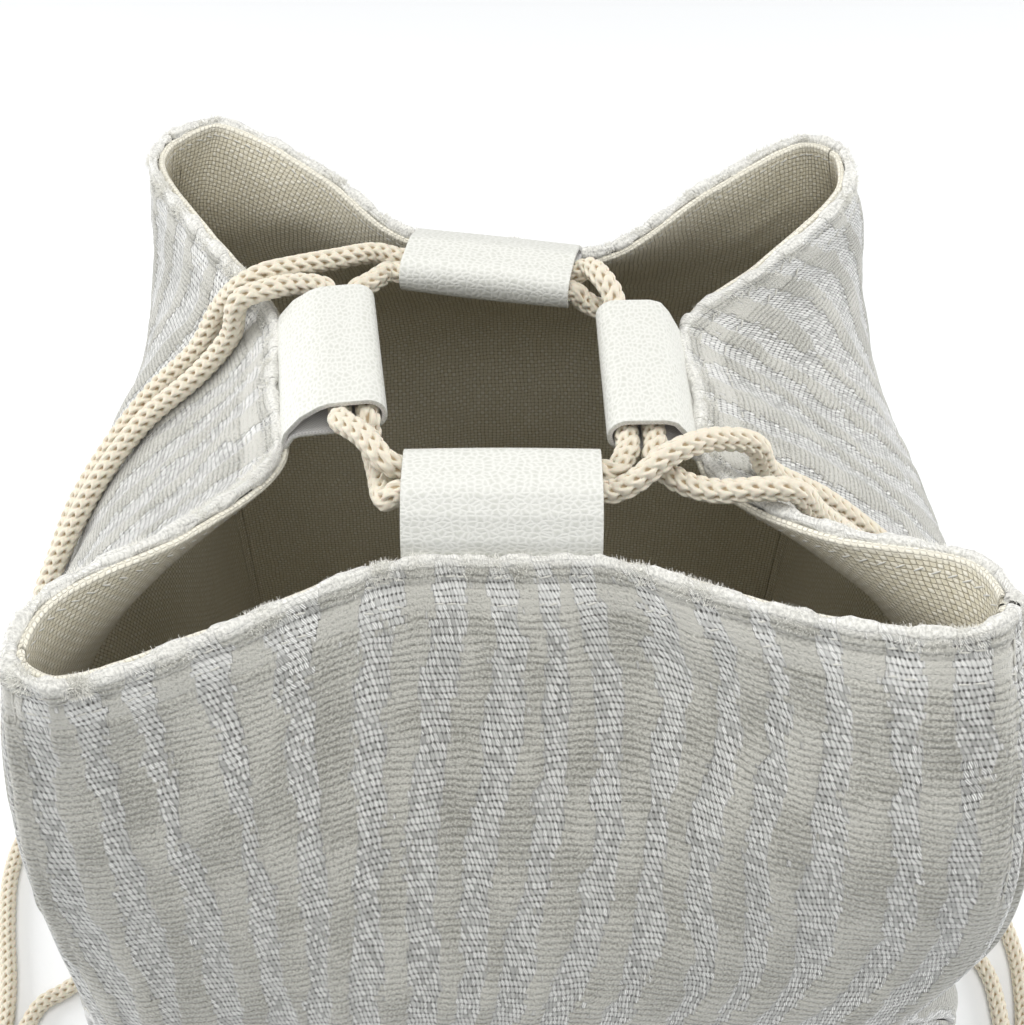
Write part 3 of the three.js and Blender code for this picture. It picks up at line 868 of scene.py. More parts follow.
@dataclass(frozen=True)
class PlainFinish:
    """Evenly coloured surface with a little grain, for thread, board and floor."""

    name: str
    colour: Rgb
    grain: float = 0.1
    roughness: float = 0.9

    def material(self) -> bpy.types.Material:
        """Builds the material.

        Returns:
            The material.
        """
        g = Graph(self.name)
        place = g.node("ShaderNodeTexCoord").outputs["Object"]
        grain = g.noise(place, 900.0, 3.0)
        darker = tuple(c * (1 - self.grain) for c in self.colour)
        colour = g.mix(grain, darker, self.colour)
        return g.finish(grain, 0.1, 0.3, Base_Color=colour, Roughness=self.roughness)


# Cloth panels


@dataclass(frozen=True)
class ClothSizes:
    """Sizes of the cloth layers, their stitch lines and relief, in mm.

    A level is the wall's height between the last two rings, and pucker is a share of a dip.
    """

    outer: float = 2.0
    lining: float = 1.6
    gap: float = 0.3
    lining_drop: float = 0.6
    board: float = 2.0
    flat_width: float = 200.0
    flat_height: float = 245.0
    pile: float = 0.6
    topstitch: float = 4.3
    hem: float = 10.3
    edge_stitch: float = 3.6
    level: float = 26.0
    welt: float = 0.5
    seam_dip: float = 1.1
    edge_dip: float = 0.4
    topstitch_dip: float = 0.55
    hem_dip: float = 0.4
    pucker: float = 0.35
    welt_half: float = 2.2
    seam_half: float = 1.2
    edge_groove: float = 0.55
    line_groove: float = 0.5
    outer_tufts: float = 0.45
    lining_tufts: float = 0.15
    thread_sunk: float = 0.05


class StripePattern:
    """Irregular stripes of pile that run up the cloth, fork and end."""

    PITCH = 11.8
    # Size in mm across and along the cloth, and weight
    DRIFT = (70.0, 80.0, 0.5)
    FORK = (19.0, 38.0, 0.33)
    WIDTH = (21.0, 30.0, 0.5)
    RAGGED = (3.6, 6.0, 0.65)
    EDGE = 0.55

    def __init__(self, seed: int) -> None:
        """Sets up the noises of one panel's cut of the cloth.

        Args:
            seed: start of the random numbers.
        """
        self.drift = SmoothNoise(seed)
        self.fork = SmoothNoise(seed + 1)
        self.ragged = SmoothNoise(seed + 2)
        self.width = SmoothNoise(seed + 3)

    def __call__(self, x: Array, y: Array) -> Array:
        """Returns the pile's share.

        Args:
            x: places across the flat cloth, in mm.
            y: places along it, in mm.

        Returns:
            0 on the ground to 1 on the pile.
        """
        def part(noise: SmoothNoise, size: tuple[float, float, float]) -> Array:
            """Returns a noise of that size and weight."""
            return noise(x / size[0], y / size[1]) * size[2]

        shift = part(self.drift, self.DRIFT) + part(self.fork, self.FORK)
        wave = np.cos(2 * math.pi * (x / self.PITCH + shift))
        level = part(self.width, self.WIDTH) + part(self.ragged, self.RAGGED)
        return smoothstep(wave + level, -self.EDGE, self.EDGE)


@dataclass
class WallPanel:
    """Both layers of one side of the bag, with their stitching."""

    loft: WallLoft
    side: Side
    sizes: ClothSizes
    columns: int = 210
    rows: int = 250
    roll_steps: int = 7
    hidden_rows: int = 5
    hidden_levels: float = 0.35

    BLENDS = {
        Side.FRONT: ((0, -84, 220), (0, -58, 220)),
        Side.RIGHT: ((86, 0, 220), (48, 0, 220)),
        Side.BACK: ((0, 84, 220), (0, 59, 220)),
        Side.LEFT: ((-86, 0, 220), (-60, 0, 220)),
    }
    # Repeats along a side, and start and drift through the noise
    BIG_TUFTS = (55.0, 5.0, 0.8)
    SMALL_TUFTS = (130.0, 9.0, 1.3)
    SMALL_SHARE = 0.6
    # Where the flattened hem band starts and ends beside its stitches, and the paler rolled edge, in mm
    BAND_START = (-0.3, 0.4)
    BAND_END = (-0.6, 0.2)
    ROLL_SPAN = (-1.6, 0.2)
    FLATTENED = 0.5
    # Lowest level of the corner stitches, and the share of the cloth's height that they run
    STITCH_LOW = 0.25
    STITCH_SHARE = 0.93
    PATTERN_SEED = 40
    PATTERN_STEP = 10

    def _layer(self, low: float, drop: float, depth: float, thick: float, face_out: bool,
               tufts: float) -> Shape:
        """Builds a layer: its seen face, its rolled edge and a strip of its hidden face.

        Args:
            low: level at which the layer starts.
            drop: how far its edge lies below the rim, in mm.
            depth: how far the layer lies under the draped face, in mm.
            thick: its thickness, in mm.
            face_out: whether its seen face is the outer one.
            tufts: how bumpy its rolled edge is, in mm.

        Returns:
            The layer.
        """
        s = np.linspace(0, 1, self.columns + 1)
        span = np.linalg.norm(self.loft.point(self.side + 0.5, self.loft.top) -
                              self.loft.point(self.side + 0.5, self.loft.top - 1))
        radius = thick / 2
        high = self.loft.top - (drop + radius) / span
        v = np.linspace(low, high, self.rows + 1)
        vv, uu = np.meshgrid(v, self.side + s, indexing="ij")
        near, far = (depth, depth + thick) if face_out else (depth + thick, depth)
        face = self.loft.inside(uu, vv, near)
        steps = np.linalg.norm(np.diff(face, axis=0), axis=2)
        length = np.concatenate([[np.zeros(len(s))], np.cumsum(steps, 0)])
        low_share = low / self.loft.top
        along = self.sizes.flat_height * (low_share + (1 - low_share) * length / length[-1])
        across = np.broadcast_to((s - 0.5) * self.sizes.flat_width, along.shape)
        middle = (near + far) / 2
        turn = np.linspace(0, math.pi, self.roll_steps + 1)[1:]
        centre = self.loft.inside(uu[-1], vv[-1], middle)
        normal = unit(face[-1] - centre)
        rise = self.loft.rise(uu[-1], vv[-1])
        roll = []
        for t in turn:
            wide = radius + tufts * self._tufts(uu[-1], t) * math.sin(t)
            roll.append(centre + (normal * math.cos(t) + rise * math.sin(t)) * wide[:, None])
        roll = np.stack(roll)
        back_v = np.linspace(high, high - self.hidden_levels, self.hidden_rows + 1)[1:]
        bv, bu = np.meshgrid(back_v, self.side + s, indexing="ij")
        back = self.loft.inside(bu, bv, far)
        points = np.concatenate([face, roll, back])
        hidden = math.pi + np.arange(1, self.hidden_rows + 1)
        extra = along[-1] + radius * np.concatenate([turn, hidden])[:, None]
        along = np.concatenate([along, np.broadcast_to(extra, (len(extra), len(s)))])
        across = np.broadcast_to(across[:1], along.shape)
        uv = np.stack([across, along], -1)
        to_rim = along[len(v) - 1] - along
        pressed = smoothstep(to_rim, *(self.sizes.topstitch + beside for beside in self.BAND_START))
        unpressed = smoothstep(to_rim, *(self.sizes.hem + beside for beside in self.BAND_END))
        marks = {"worn": smoothstep(-to_rim, *self.ROLL_SPAN), "to_rim": to_rim,
                 "pressed": pressed * (1 - unpressed)}
        return Shape(points.reshape(-1, 3), grid_faces(*points.shape[:2]), uv.reshape(-1, 2),
                     {name: values.reshape(-1) for name, values in marks.items()})

    def _tufts(self, u: Array, turn: float) -> Array:
        """Works out the tufts along the rolled edge.

        Args:
            u: places along the edge.
            turn: how far round the edge, in radians.

        Returns:
            How far each place stands out, as a share of the tufts' height.
        """
        shares = []
        for noise, repeats, start, drift in ((self.loft.creases, *self.BIG_TUFTS),
                                             (self.loft.folds, *self.SMALL_TUFTS)):
            shares.append(noise(u * repeats, np.full(len(u), start + drift * turn)))
        return shares[0] + self.SMALL_SHARE * shares[1]

    def _relief(self, shape: Shape) -> Array:
        """Works out the relief of the velvet's pile, seams and stitch lines.

        Args:
            shape: the outer layer, with its pile marked.

        Returns:
            How far each point moves out, in mm.
        """
        across, along = shape.uv[:, 0], shape.uv[:, 1]
        pile = shape.marks["pile"]
        to_corner = self.sizes.flat_width / 2 - np.abs(across)
        to_rim = shape.marks["to_rim"]
        pucker = 1 + self.sizes.pucker * np.cos(2 * math.pi * along / STITCH.pitch)
        welt = self.sizes.welt * (1 - smoothstep(to_corner, self.sizes.welt_half, self.sizes.edge_stitch))
        welt = welt - self.sizes.seam_dip * (1 - smoothstep(to_corner, 0.0, self.sizes.seam_half))
        off_edge = (to_corner - self.sizes.edge_stitch) / self.sizes.edge_groove
        groove = np.exp(-off_edge ** 2) * pucker
        across_pucker = 1 + self.sizes.pucker * np.cos(2 * math.pi * across / STITCH.pitch)
        topline, hemline = (np.exp(-((to_rim - down) / self.sizes.line_groove) ** 2) * across_pucker
                            for down in (self.sizes.topstitch, self.sizes.hem))
        high = pile * (1 - self.FLATTENED * shape.marks["pressed"])
        dips = self.sizes.edge_dip * groove + self.sizes.topstitch_dip * topline
        dips = dips + self.sizes.hem_dip * hemline
        return self.sizes.pile * high + welt - dips

    def _stitches(self, line_from: str) -> list[Array]:
        """Places the lines of stitches on a layer.

        Args:
            line_from: rim for the lines below the rim, corner for those beside the corners.

        Returns:
            Rows of u and v for each line.
        """
        count = int(self.sizes.flat_width / STITCH.pitch)
        s = (np.arange(count) + 0.5) / count
        rim = self.loft.top - self.sizes.topstitch / self.sizes.level
        if line_from == "rim":
            return [np.stack([self.side + s, np.full(count, self.loft.top - down / self.sizes.level)], -1)
                    for down in (self.sizes.topstitch, self.sizes.hem)]
        height = int(self.sizes.flat_height * self.STITCH_SHARE / STITCH.pitch)
        v = self.STITCH_LOW + (rim - self.STITCH_LOW) * (np.arange(height) + 0.5) / height
        inset = self.sizes.edge_stitch / self.sizes.flat_width
        return [np.stack([np.full(height, self.side + x), v], -1) for x in (inset, 1 - inset)]

    def build(self, velvet: bpy.types.Material, linen: bpy.types.Material, thread: bpy.types.Material,
              fibre: bpy.types.Material) -> None:
        """Makes the panel's pieces.

        Args:
            velvet: finish of the outer layer.
            linen: finish of the lining.
            thread: finish of the stitches.
            fibre: finish of the loose fibres.
        """
        outer = self._layer(0.0, 0.0, 0.0, self.sizes.outer, True, self.sizes.outer_tufts)
        pattern = StripePattern(self.PATTERN_SEED + self.PATTERN_STEP * self.side)
        outer.marks["pile"] = pattern(outer.uv[:, 0], outer.uv[:, 1])
        outer.points = outer.points + self._outward(outer) * self._relief(outer)[:, None]
        low = self.loft.level_at(self.sizes.outer + self.sizes.gap * 2 + self.sizes.board)
        depth = self.sizes.outer + self.sizes.gap
        lining = self._layer(low, self.sizes.lining_drop, depth, self.sizes.lining, False,
                             self.sizes.lining_tufts)
        lining.quads = lining.quads[:, ::-1]
        sunk = self.sizes.thread_sunk
        seams = [StitchRow(self.loft, line, sunk, 0) for line in self._stitches("rim")]
        seams += [StitchRow(self.loft, line, 0.0, 1) for line in self._stitches("corner")]
        seams += [StitchRow(self.loft, line, depth + self.sizes.lining - sunk, 0)
                  for line in self._stitches("rim")[:1]]
        pieces = (
            (outer.object(f"velvet_{self.side.label}", velvet), "velvet", f"outer_{self.side.label}"),
            (lining.object(f"linen_{self.side.label}", linen), "linen", f"lining_{self.side.label}"),
            (Shape.joined([row.shape() for row in seams]).object(f"stitches_{self.side.label}", thread),
             "linen", None),
        )
        fuzz = RimFuzz(self.loft, self.side, self.sizes.outer / 2).shape()
        pieces += ((fuzz.object(f"fibres_{self.side.label}", fibre), "velvet", None),)
        start, end = self.BLENDS[self.side]
        for piece, slot, node in pieces:
            if node:
                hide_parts(node)
            inward = depth + self.sizes.lining if slot == "linen" and node else 0.0
            shift = -np.array([*WallLoft.OUTWARD[self.side], 0.0]) * inward
            tuple((np.array(start) + shift) * MM)
            tuple((np.array(end) + shift) * MM)
            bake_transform(piece)

    def _outward(self, shape: Shape) -> Array:
        """Works out the outward directions of a layer's points.

        Args:
            shape: the layer, as a grid of points.

        Returns:
            One direction for each point, at length 1.
        """
        width = self.columns + 1
        grid = shape.points.reshape(-1, width, 3)
        along = np.gradient(grid, axis=1)
        up = np.gradient(grid, axis=0)
        return unit(np.cross(along, up)).reshape(-1, 3)


@dataclass(frozen=True)
class StitchSizes:
    """Sizes of a machine stitch, in mm."""

    pitch: float = 3.0
    length: float = 2.2
    thick: float = 0.5
    sides: int = 6


STITCH = StitchSizes()


@dataclass(frozen=True)
class StitchRow:
    """A line of stitches on a wall."""

    loft: WallLoft
    line: Array
    depth: float
    axis: int

    def shape(self) -> Shape:
        """Builds every stitch of the line as a small bent bead.

        Returns:
            The stitches as one shape.
        """
        u, v = self.line[:, 0], self.line[:, 1]
        centre = self.loft.inside(u, v, self.depth)
        normal = self.loft.normal(u, v)
        rise = self.loft.rise(u, v)
        along = unit(np.cross(rise, normal)) if self.axis == 0 else rise
        side = np.cross(normal, along)
        share = np.array([-1.0, -0.7, 0.0, 0.7, 1.0])
        thick = np.array([0.15, 0.8, 1.0, 0.8, 0.15]) * STITCH.thick / 2
        turn = np.arange(STITCH.sides) * 2 * math.pi / STITCH.sides
        ring = np.stack([np.cos(turn), np.sin(turn)], -1)
        reach = share * STITCH.length / 2
        points = (centre[:, None, None] + along[:, None, None] * reach[None, :, None, None]
                  + side[:, None, None] * (thick[:, None] * ring[None, :, 0])[None, ..., None]
                  + normal[:, None, None] * (thick[:, None] * ring[None, :, 1])[None, ..., None])
        one = grid_faces(len(share), STITCH.sides, closed=True)
        count = len(share) * STITCH.sides
        quads = (one[None] + (np.arange(len(u)) * count)[:, None, None]).reshape(-1, 4)
        flat = points.reshape(-1, 3)
        return Shape(flat, quads, flat[:, :2].copy(), {})


@dataclass
class RimFuzz:
    """Short loose fibres of the velvet along one side's rolled edge.

    Lengths are in mm, turns are shares of half a turn round the edge, and below is in levels.
    """

    loft: WallLoft
    side: Side
    radius: float
    count: int = 9000
    clumps: int = 46
    in_clumps: float = 0.7
    clump_spread: float = 0.005
    clump_longer: float = 1.5
    lengths: Pair = (0.4, 1.2)
    turns: Pair = (-0.35, 0.8)
    below: Pair = (0.06, 0.1)
    unruly: float = 0.55
    width: float = 0.13
    taper: float = 0.4
    seed: int = 700

    def shape(self) -> Shape:
        """Builds every fibre as a thin tapered strip.

        Returns:
            The fibres as one shape.
        """
        rng = np.random.default_rng(self.seed + self.side)
        tufts = rng.uniform(0.0, 1.0, self.clumps)[rng.integers(0, self.clumps, self.count)]
        tufts = np.clip(tufts + rng.normal(0.0, self.clump_spread, self.count), 0.0, 1.0)
        in_tuft = rng.uniform(0.0, 1.0, self.count) < self.in_clumps
        u = self.side + np.where(in_tuft, tufts, rng.uniform(0.0, 1.0, self.count))
        turn = rng.uniform(*(share * math.pi for share in self.turns), self.count)
        v = np.full(self.count, self.loft.top - self.below[0])
        v = v - np.where(turn < 0, rng.uniform(0.0, self.below[1], self.count), 0.0)
        normal, rise = self.loft.normal(u, v), self.loft.rise(u, v)
        over = np.maximum(turn, 0)[:, None]
        facing = normal * np.cos(over) + rise * np.sin(over)
        root = self.loft.inside(u, v, self.radius) + facing * self.radius
        lean = unit(facing + rng.normal(0.0, self.unruly, (self.count, 3)))
        longer = np.where(in_tuft, self.clump_longer, 1.0)
        tip = root + lean * (rng.uniform(*self.lengths, self.count) * longer)[:, None]
        aside = unit(np.cross(lean, rng.normal(0.0, 1.0, (self.count, 3)))) * self.width / 2
        ends = [root - aside, root + aside, tip + aside * self.taper, tip - aside * self.taper]
        points = np.stack(ends, 1).reshape(-1, 3)
        quads = np.arange(4 * self.count).reshape(-1, 4)
        return Shape(points, quads, points[:, :2].copy(), {})


@dataclass
class Base:
    """Cloth base, its stiffener and the lining's floor."""

    loft: WallLoft
    sizes: ClothSizes
    steps: int = 120
    rings: int = 40

    def _plate(self, z: float, thick: float, inset: float) -> Shape:
        """Builds a plate inside the walls, with its edge turned round.

        Args:
            z: height of its underside, in mm.
            thick: its thickness, in mm.
            inset: how far its edge lies inside the draped face, in mm.

        Returns:
            The plate.
        """
        level = self.loft.level_at(max(z, 0.05))
        u = np.arange(self.steps) * 4 / self.steps
        rim = self.loft.point(u, np.full(self.steps, level))
        out = self.loft.normal(u, np.full(self.steps, level)) * np.array([1, 1, 0])
        rim = (rim - unit(out) * (inset + thick / 2)) * np.array([1, 1, 0])
        share = np.linspace(0.02, 1, self.rings)
        top = rim[None] * share[:, None, None] + np.array([0, 0, z + thick])
        low = rim[None] * share[::-1, None, None] + np.array([0, 0, z])
        turn = np.linspace(math.pi / 2, -math.pi / 2, 5)[1:-1]
        edge = np.stack([rim + unit(out) * math.cos(t) * thick / 2 +
                         np.array([0, 0, z + thick / 2 + math.sin(t) * thick / 2]) for t in turn])
        points = np.concatenate([top, edge, low])
        quads = grid_faces(len(points), self.steps, closed=True)
        flat = points.reshape(-1, 3)
        zeros = np.zeros(len(flat))
        return Shape(flat, quads, flat[:, :2].copy(), {"worn": zeros, "pile": zeros, "pressed": zeros})

    def build(self, velvet: bpy.types.Material, linen: bpy.types.Material, board: bpy.types.Material) -> None:
        """Makes the three plates, on the bag's own body.

        Args:
            velvet: finish of the outer base.
            linen: finish of the lining's base.
            board: finish of the stiffener.
        """
        inside = self.sizes.outer + self.sizes.gap
        in_lining = inside + self.sizes.lining + self.sizes.gap
        board_top = inside + self.sizes.board
        plates = (
            ("velvet_base", "outer_base", "velvet", velvet, 0.0, self.sizes.outer, inside),
            ("stiffener", "base_board", "board", board, inside, self.sizes.board, inside),
            ("linen_base", "lining_base", "linen", linen, board_top + self.sizes.gap, self.sizes.lining,
             in_lining),
        )
        for name, node, slot, material, z, thick, inset in plates:
            shape = self._plate(z, thick, inset)
            if slot == "velvet":
                shape.marks["pile"] = StripePattern(90)(shape.uv[:, 0], shape.uv[:, 1])
            piece = shape.object(name, material)
            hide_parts(node)
            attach(piece, "bag")


# Tabs


@dataclass(frozen=True)
class TabSizes:
    """Sizes that the four tabs share, in mm; skived is the share of thickness left at the roots."""

    width: float = 40.0
    thick: float = 1.1
    lift: float = 0.35
    cord: float = 5.0
    pitch: float = 5.8
    clear: float = 0.6
    under: float = 0.3
    over: float = 1.3
    bow: float = 0.35
    skived: float = 0.4
    skive: Pair = (3.0, 7.0)

    @property
    def loop_height(self) -> float:
        """Free height inside the loop."""
        return self.under + self.cord + self.over

    @property
    def loop_length(self) -> float:
        """Free length inside the loop."""
        return self.cord + self.pitch + 2 * self.clear

    @property
    def cord_up(self) -> float:
        """Height of the cords' middle over the rim."""
        return self.lift + self.thick + self.under + self.cord / 2


@dataclass
class Tab:
    """A strip of leather folded round the two cords, sewn into the rim."""

    loft: WallLoft
    side: Side
    length: float
    turn: float
    sizes: TabSizes

    # Shares of face and back, and how far out in mm, at two lines along the cut edge
    CUT_EDGE = ((0.66, 0.34, 0.12), (0.5, 0.5, 0.1))
    CUT_EDGE_U = (0, 0.3, 0.6, 1.0)

    def __post_init__(self) -> None:
        """Works out where the tab stands and which way it points."""
        angle = math.radians(self.turn)
        self.origin = self.loft.point(np.array(self.side + 0.5), np.array(float(self.loft.top)))
        self.along = np.array([math.cos(angle), math.sin(angle), 0.0])
        self.inward = np.array([-math.sin(angle), math.cos(angle), 0.0])

    def place(self, along: Array | float, inward: Array | float, up: Array | float) -> Array:
        """Returns points of the tab's frame in the bag's frame."""
        along, inward, up = (np.asarray(a, float)[..., None] for a in (along, inward, up))
        return self.origin + self.along * along + self.inward * inward + np.array([0, 0, 1.0]) * up

    @property
    def inner_line(self) -> float:
        """How far in the cord nearer the middle of the mouth runs."""
        return self.length - self.sizes.thick - self.sizes.clear - self.sizes.cord / 2

    @property
    def outer_line(self) -> float:
        """How far in the other cord runs."""
        return self.inner_line - self.sizes.pitch

    def leg(self, end: int, line: float, along: tuple[float, ...]) -> list[Array]:
        """Returns a cord's straight points in the tab, towards one of its ends."""
        return [self.place(end * a, line, self.sizes.cord_up) for a in along]

    def _middle_line(self) -> Array:
        """Draws the folded strip's middle line, from its lower root round to its upper root.

        Returns:
            Points in mm, y inward and z up.
        """
        t = self.sizes.thick
        low = self.sizes.lift + t / 2
        high = self.sizes.lift + self.sizes.loop_height + 1.5 * t
        radius = (high - low) / 2
        fold = self.length - t / 2 - radius
        loop = self.length - t - self.sizes.loop_length
        turn = np.linspace(-math.pi / 2, math.pi / 2, 13)
        arc = [(fold + radius * math.cos(a), low + radius + radius * math.sin(a)) for a in turn]
        lower = self._in_seam(3.3) + [(4.2, 0.3), (5.6, 0.8), (7.5, low)]
        upper = [(loop + 1, high), (loop - 1.2, high - 0.7), (3.9 + 0.4 * (loop - 5), 0.5 * high + 1.2),
                 (3.1, 1.5)]
        return resample(np.array(lower + arc + upper + self._in_seam(2.55)[::-1]), 0.55)

    def _in_seam(self, depth: float) -> list[tuple[float, float]]:
        """Places a ply between the cloth layers.

        Args:
            depth: how far under the draped face the ply lies, in mm.

        Returns:
            Points in mm from its end to the rim, y inward and z up.
        """
        v = self.loft.top - np.array([0.24, 0.16, 0.08, 0.0])
        points = self.loft.inside(np.full(4, self.side + 0.5), v, depth) - self.origin
        return [(float(p @ self.inward), float(p[2])) for p in points]

    def build(self, leather: bpy.types.Material, backing: bpy.types.Material) -> None:
        """Makes the folded strip with its leather face, knitted back and cut edges.

        Args:
            leather: finish of its face.
            backing: finish of its back.
        """
        line = self._middle_line()
        step = np.gradient(line, axis=0)
        step = step / np.linalg.norm(step, axis=1, keepdims=True)
        out = np.stack([step[:, 1], -step[:, 0]], -1)
        half, columns = self.sizes.width / 2, 60
        x = np.linspace(-half, half, columns + 1)
        bow = self.sizes.bow * np.cos(math.pi * x / self.sizes.width)
        travel = np.concatenate([[0], np.cumsum(np.linalg.norm(np.diff(line, axis=0), axis=1))])
        to_end = np.minimum(travel, travel[-1] - travel)
        left = self.sizes.skived
        thick = self.sizes.thick * (left + (1 - left) * smoothstep(to_end, *self.sizes.skive))
        shapes = []
        for slot, offset in ((0, 0.5), (1, -0.5)):
            flat = line + out * (thick * offset)[:, None]
            swell = smoothstep(flat[:, 0], 5, 12)[:, None] * np.sign(flat[:, 1, None] - 4)
            up = flat[:, 1, None] + bow[None] * swell
            points = self.place(np.broadcast_to(x, up.shape), np.broadcast_to(flat[:, 0, None], up.shape), up)
            uv = np.stack([np.broadcast_to(x, up.shape), np.broadcast_to(travel[:, None], up.shape)], -1)
            shape = sheet_shape(points, uv)
            shape.slots = np.full(len(shape.quads), slot)
            if slot == 0:
                shape.quads = shape.quads[:, ::-1]
            shapes.append(shape)
        rows, width = len(line), columns + 1
        for column in (0, columns):
            face = shapes[0].points.reshape(rows, width, 3)[:, column]
            back = shapes[1].points.reshape(rows, width, 3)[:, column]
            outward = self.along * (1 if column else -1)
            between = [face * f + back * b + outward * o for f, b, o in self.CUT_EDGE]
            points = np.stack([face, *between, back], 1)
            uv = np.stack([np.broadcast_to(self.CUT_EDGE_U, (rows, 4)),
                           np.broadcast_to(travel[:, None], (rows, 4))], -1)
            edge = sheet_shape(points, uv)
            edge.slots = np.tile(np.array([0, 0, 1]), rows - 1)
            if column == 0:
                edge.quads = edge.quads[:, ::-1]
            shapes.append(edge)
        piece = Shape.joined(shapes).object(f"leather_{self.side.label}", leather, backing)
        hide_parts(f"tab_{self.side.label}")
        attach(piece, f"tab_{self.side.label}")


# Cords


def centripetal(points: Array, per_span: int = 24) -> Array:
    """Draws a centripetal Catmull-Rom curve through points.

    Args:
        points: the points to pass through.
        per_span: points of the curve between two of them.

    Returns:
        The curve's points.
    """
    ends = np.concatenate([[2 * points[0] - points[1]], points, [2 * points[-1] - points[-2]]])
    out = []
    for a, b, c, d in zip(ends, ends[1:], ends[2:], ends[3:]):
        ta = 0.0
        tb = ta + math.sqrt(max(np.linalg.norm(b - a), 1e-6))
        tc = tb + math.sqrt(max(np.linalg.norm(c - b), 1e-6))
        td = tc + math.sqrt(max(np.linalg.norm(d - c), 1e-6))
        t = np.linspace(tb, tc, per_span, endpoint=False)[:, None]
        ab = (tb - t) / (tb - ta) * a + (t - ta) / (tb - ta) * b
        bc = (tc - t) / (tc - tb) * b + (t - tb) / (tc - tb) * c
        cd = (td - t) / (td - tc) * c + (t - tc) / (td - tc) * d
        abc = (tc - t) / (tc - ta) * ab + (t - ta) / (tc - ta) * bc
        bcd = (td - t) / (td - tb) * bc + (t - tb) / (td - tb) * cd
        out.append((tc - t) / (tc - tb) * abc + (t - tb) / (tc - tb) * bcd)
    return np.concatenate(out + [points[-1:]])


def resample(points: Array, step: float) -> Array:
    """Spaces points evenly along a line.

    Args:
        points: the line's points.
        step: about how far apart the new points are.

    Returns:
        The evenly spaced points.
    """
    travel = np.concatenate([[0], np.cumsum(np.linalg.norm(np.diff(points, axis=0), axis=1))])
    count = max(2, int(round(travel[-1] / step)) + 1)
    at = np.linspace(0, travel[-1], count)
    return np.stack([np.interp(at, travel, points[:, k]) for k in range(points.shape[1])], -1)


@dataclass(frozen=True)
class CordSizes:
    """Sizes of the knitted cord, in mm, and shares of its stitches' depth."""

    diameter: float = 5.0
    wales: int = 7
    stitch: float = 2.8
    depth: float = 0.9
    swell: float = 0.15
    around: int = 48
    step: float = 0.32
    bend: float = 0.2
    gap_power: float = 2.5
    gap_share: float = 0.5
    seam_share: float = 0.22
    hole_share: float = 0.7


@dataclass
class KnittedTube:
    """A knitted tube along a line, with V stitches in columns."""

    line: Array
    sizes: CordSizes

    def __post_init__(self) -> None:
        """Spaces the line's points and carries a side direction along it without twist."""
        self.line = resample(self.line, self.sizes.step)
        self.travel = np.arange(len(self.line)) * self.sizes.step
        tangent = unit(np.gradient(self.line, axis=0))
        side = np.cross(tangent[0], [0.0, 0.0, 1.0])
        if np.linalg.norm(side) < 0.1:
            side = np.cross(tangent[0], [0.0, 1.0, 0.0])
        sides = []
        for t in tangent:
            side = side - t * np.dot(side, t)
            side = side / np.linalg.norm(side)
            sides.append(side)
        self.side = np.array(sides)
        self.up = np.cross(self.side, tangent)

    def rings(self, start: int = 0, stop: int | None = None) -> Shape:
        """Builds the tube between two of its line's points.

        Args:
            start: number of the first point.
            stop: number after the last point, or None for the end.

        Returns:
            The stretch of tube, with how high its knit lies marked.
        """
        pick = slice(start, stop)
        turn = np.arange(self.sizes.around) * 2 * math.pi / self.sizes.around
        wale = turn * self.sizes.wales / (2 * math.pi)
        travel = self.travel[pick][:, None]
        bend = self.sizes.bend * np.cos(2 * math.pi * wale)
        phase = travel / self.sizes.stitch + (0.5 * wale + bend)[None]
        between = (0.5 - 0.5 * np.cos(2 * math.pi * phase)) ** self.sizes.gap_power
        seam = ((0.5 + 0.5 * np.cos(2 * math.pi * wale)) ** 2)[None]
        lift = 1 - self.sizes.gap_share * between - self.sizes.seam_share * seam
        lift = np.clip(lift - self.sizes.hole_share * between * seam, 0, 1)
        radius = self.sizes.diameter / 2 + self.sizes.swell - self.sizes.depth * (1 - lift)
        points = (self.line[pick][:, None] + self.side[pick][:, None] * (radius * np.cos(turn))[..., None]
                  + self.up[pick][:, None] * (radius * np.sin(turn))[..., None])
        rows = len(points)
        uv = np.stack([np.broadcast_to(turn * self.sizes.diameter / 2, (rows, len(turn))),
                       np.broadcast_to(travel, (rows, len(turn)))], -1)
        quads = grid_faces(rows, len(turn), closed=True)[:, ::-1]
        return Shape(points.reshape(-1, 3), quads, uv.reshape(-1, 2), {"lift": lift.reshape(-1)})


@dataclass(frozen=True)
class Tail:
    """Route of one cord tail: over the rim, down a wall, along the floor to its knot."""

    node: str
    wall: Side
    knot: str
    beside: float
    over: tuple[tuple[float, float, float], ...]
    on_wall: tuple[tuple[float, float], ...]
    down: tuple[tuple[float, float, float], ...]
    tab: Side | None = None
    run: str | None = None
    run_tab: Side | None = None
    run_over: tuple[tuple[float, float, float], ...] = ()


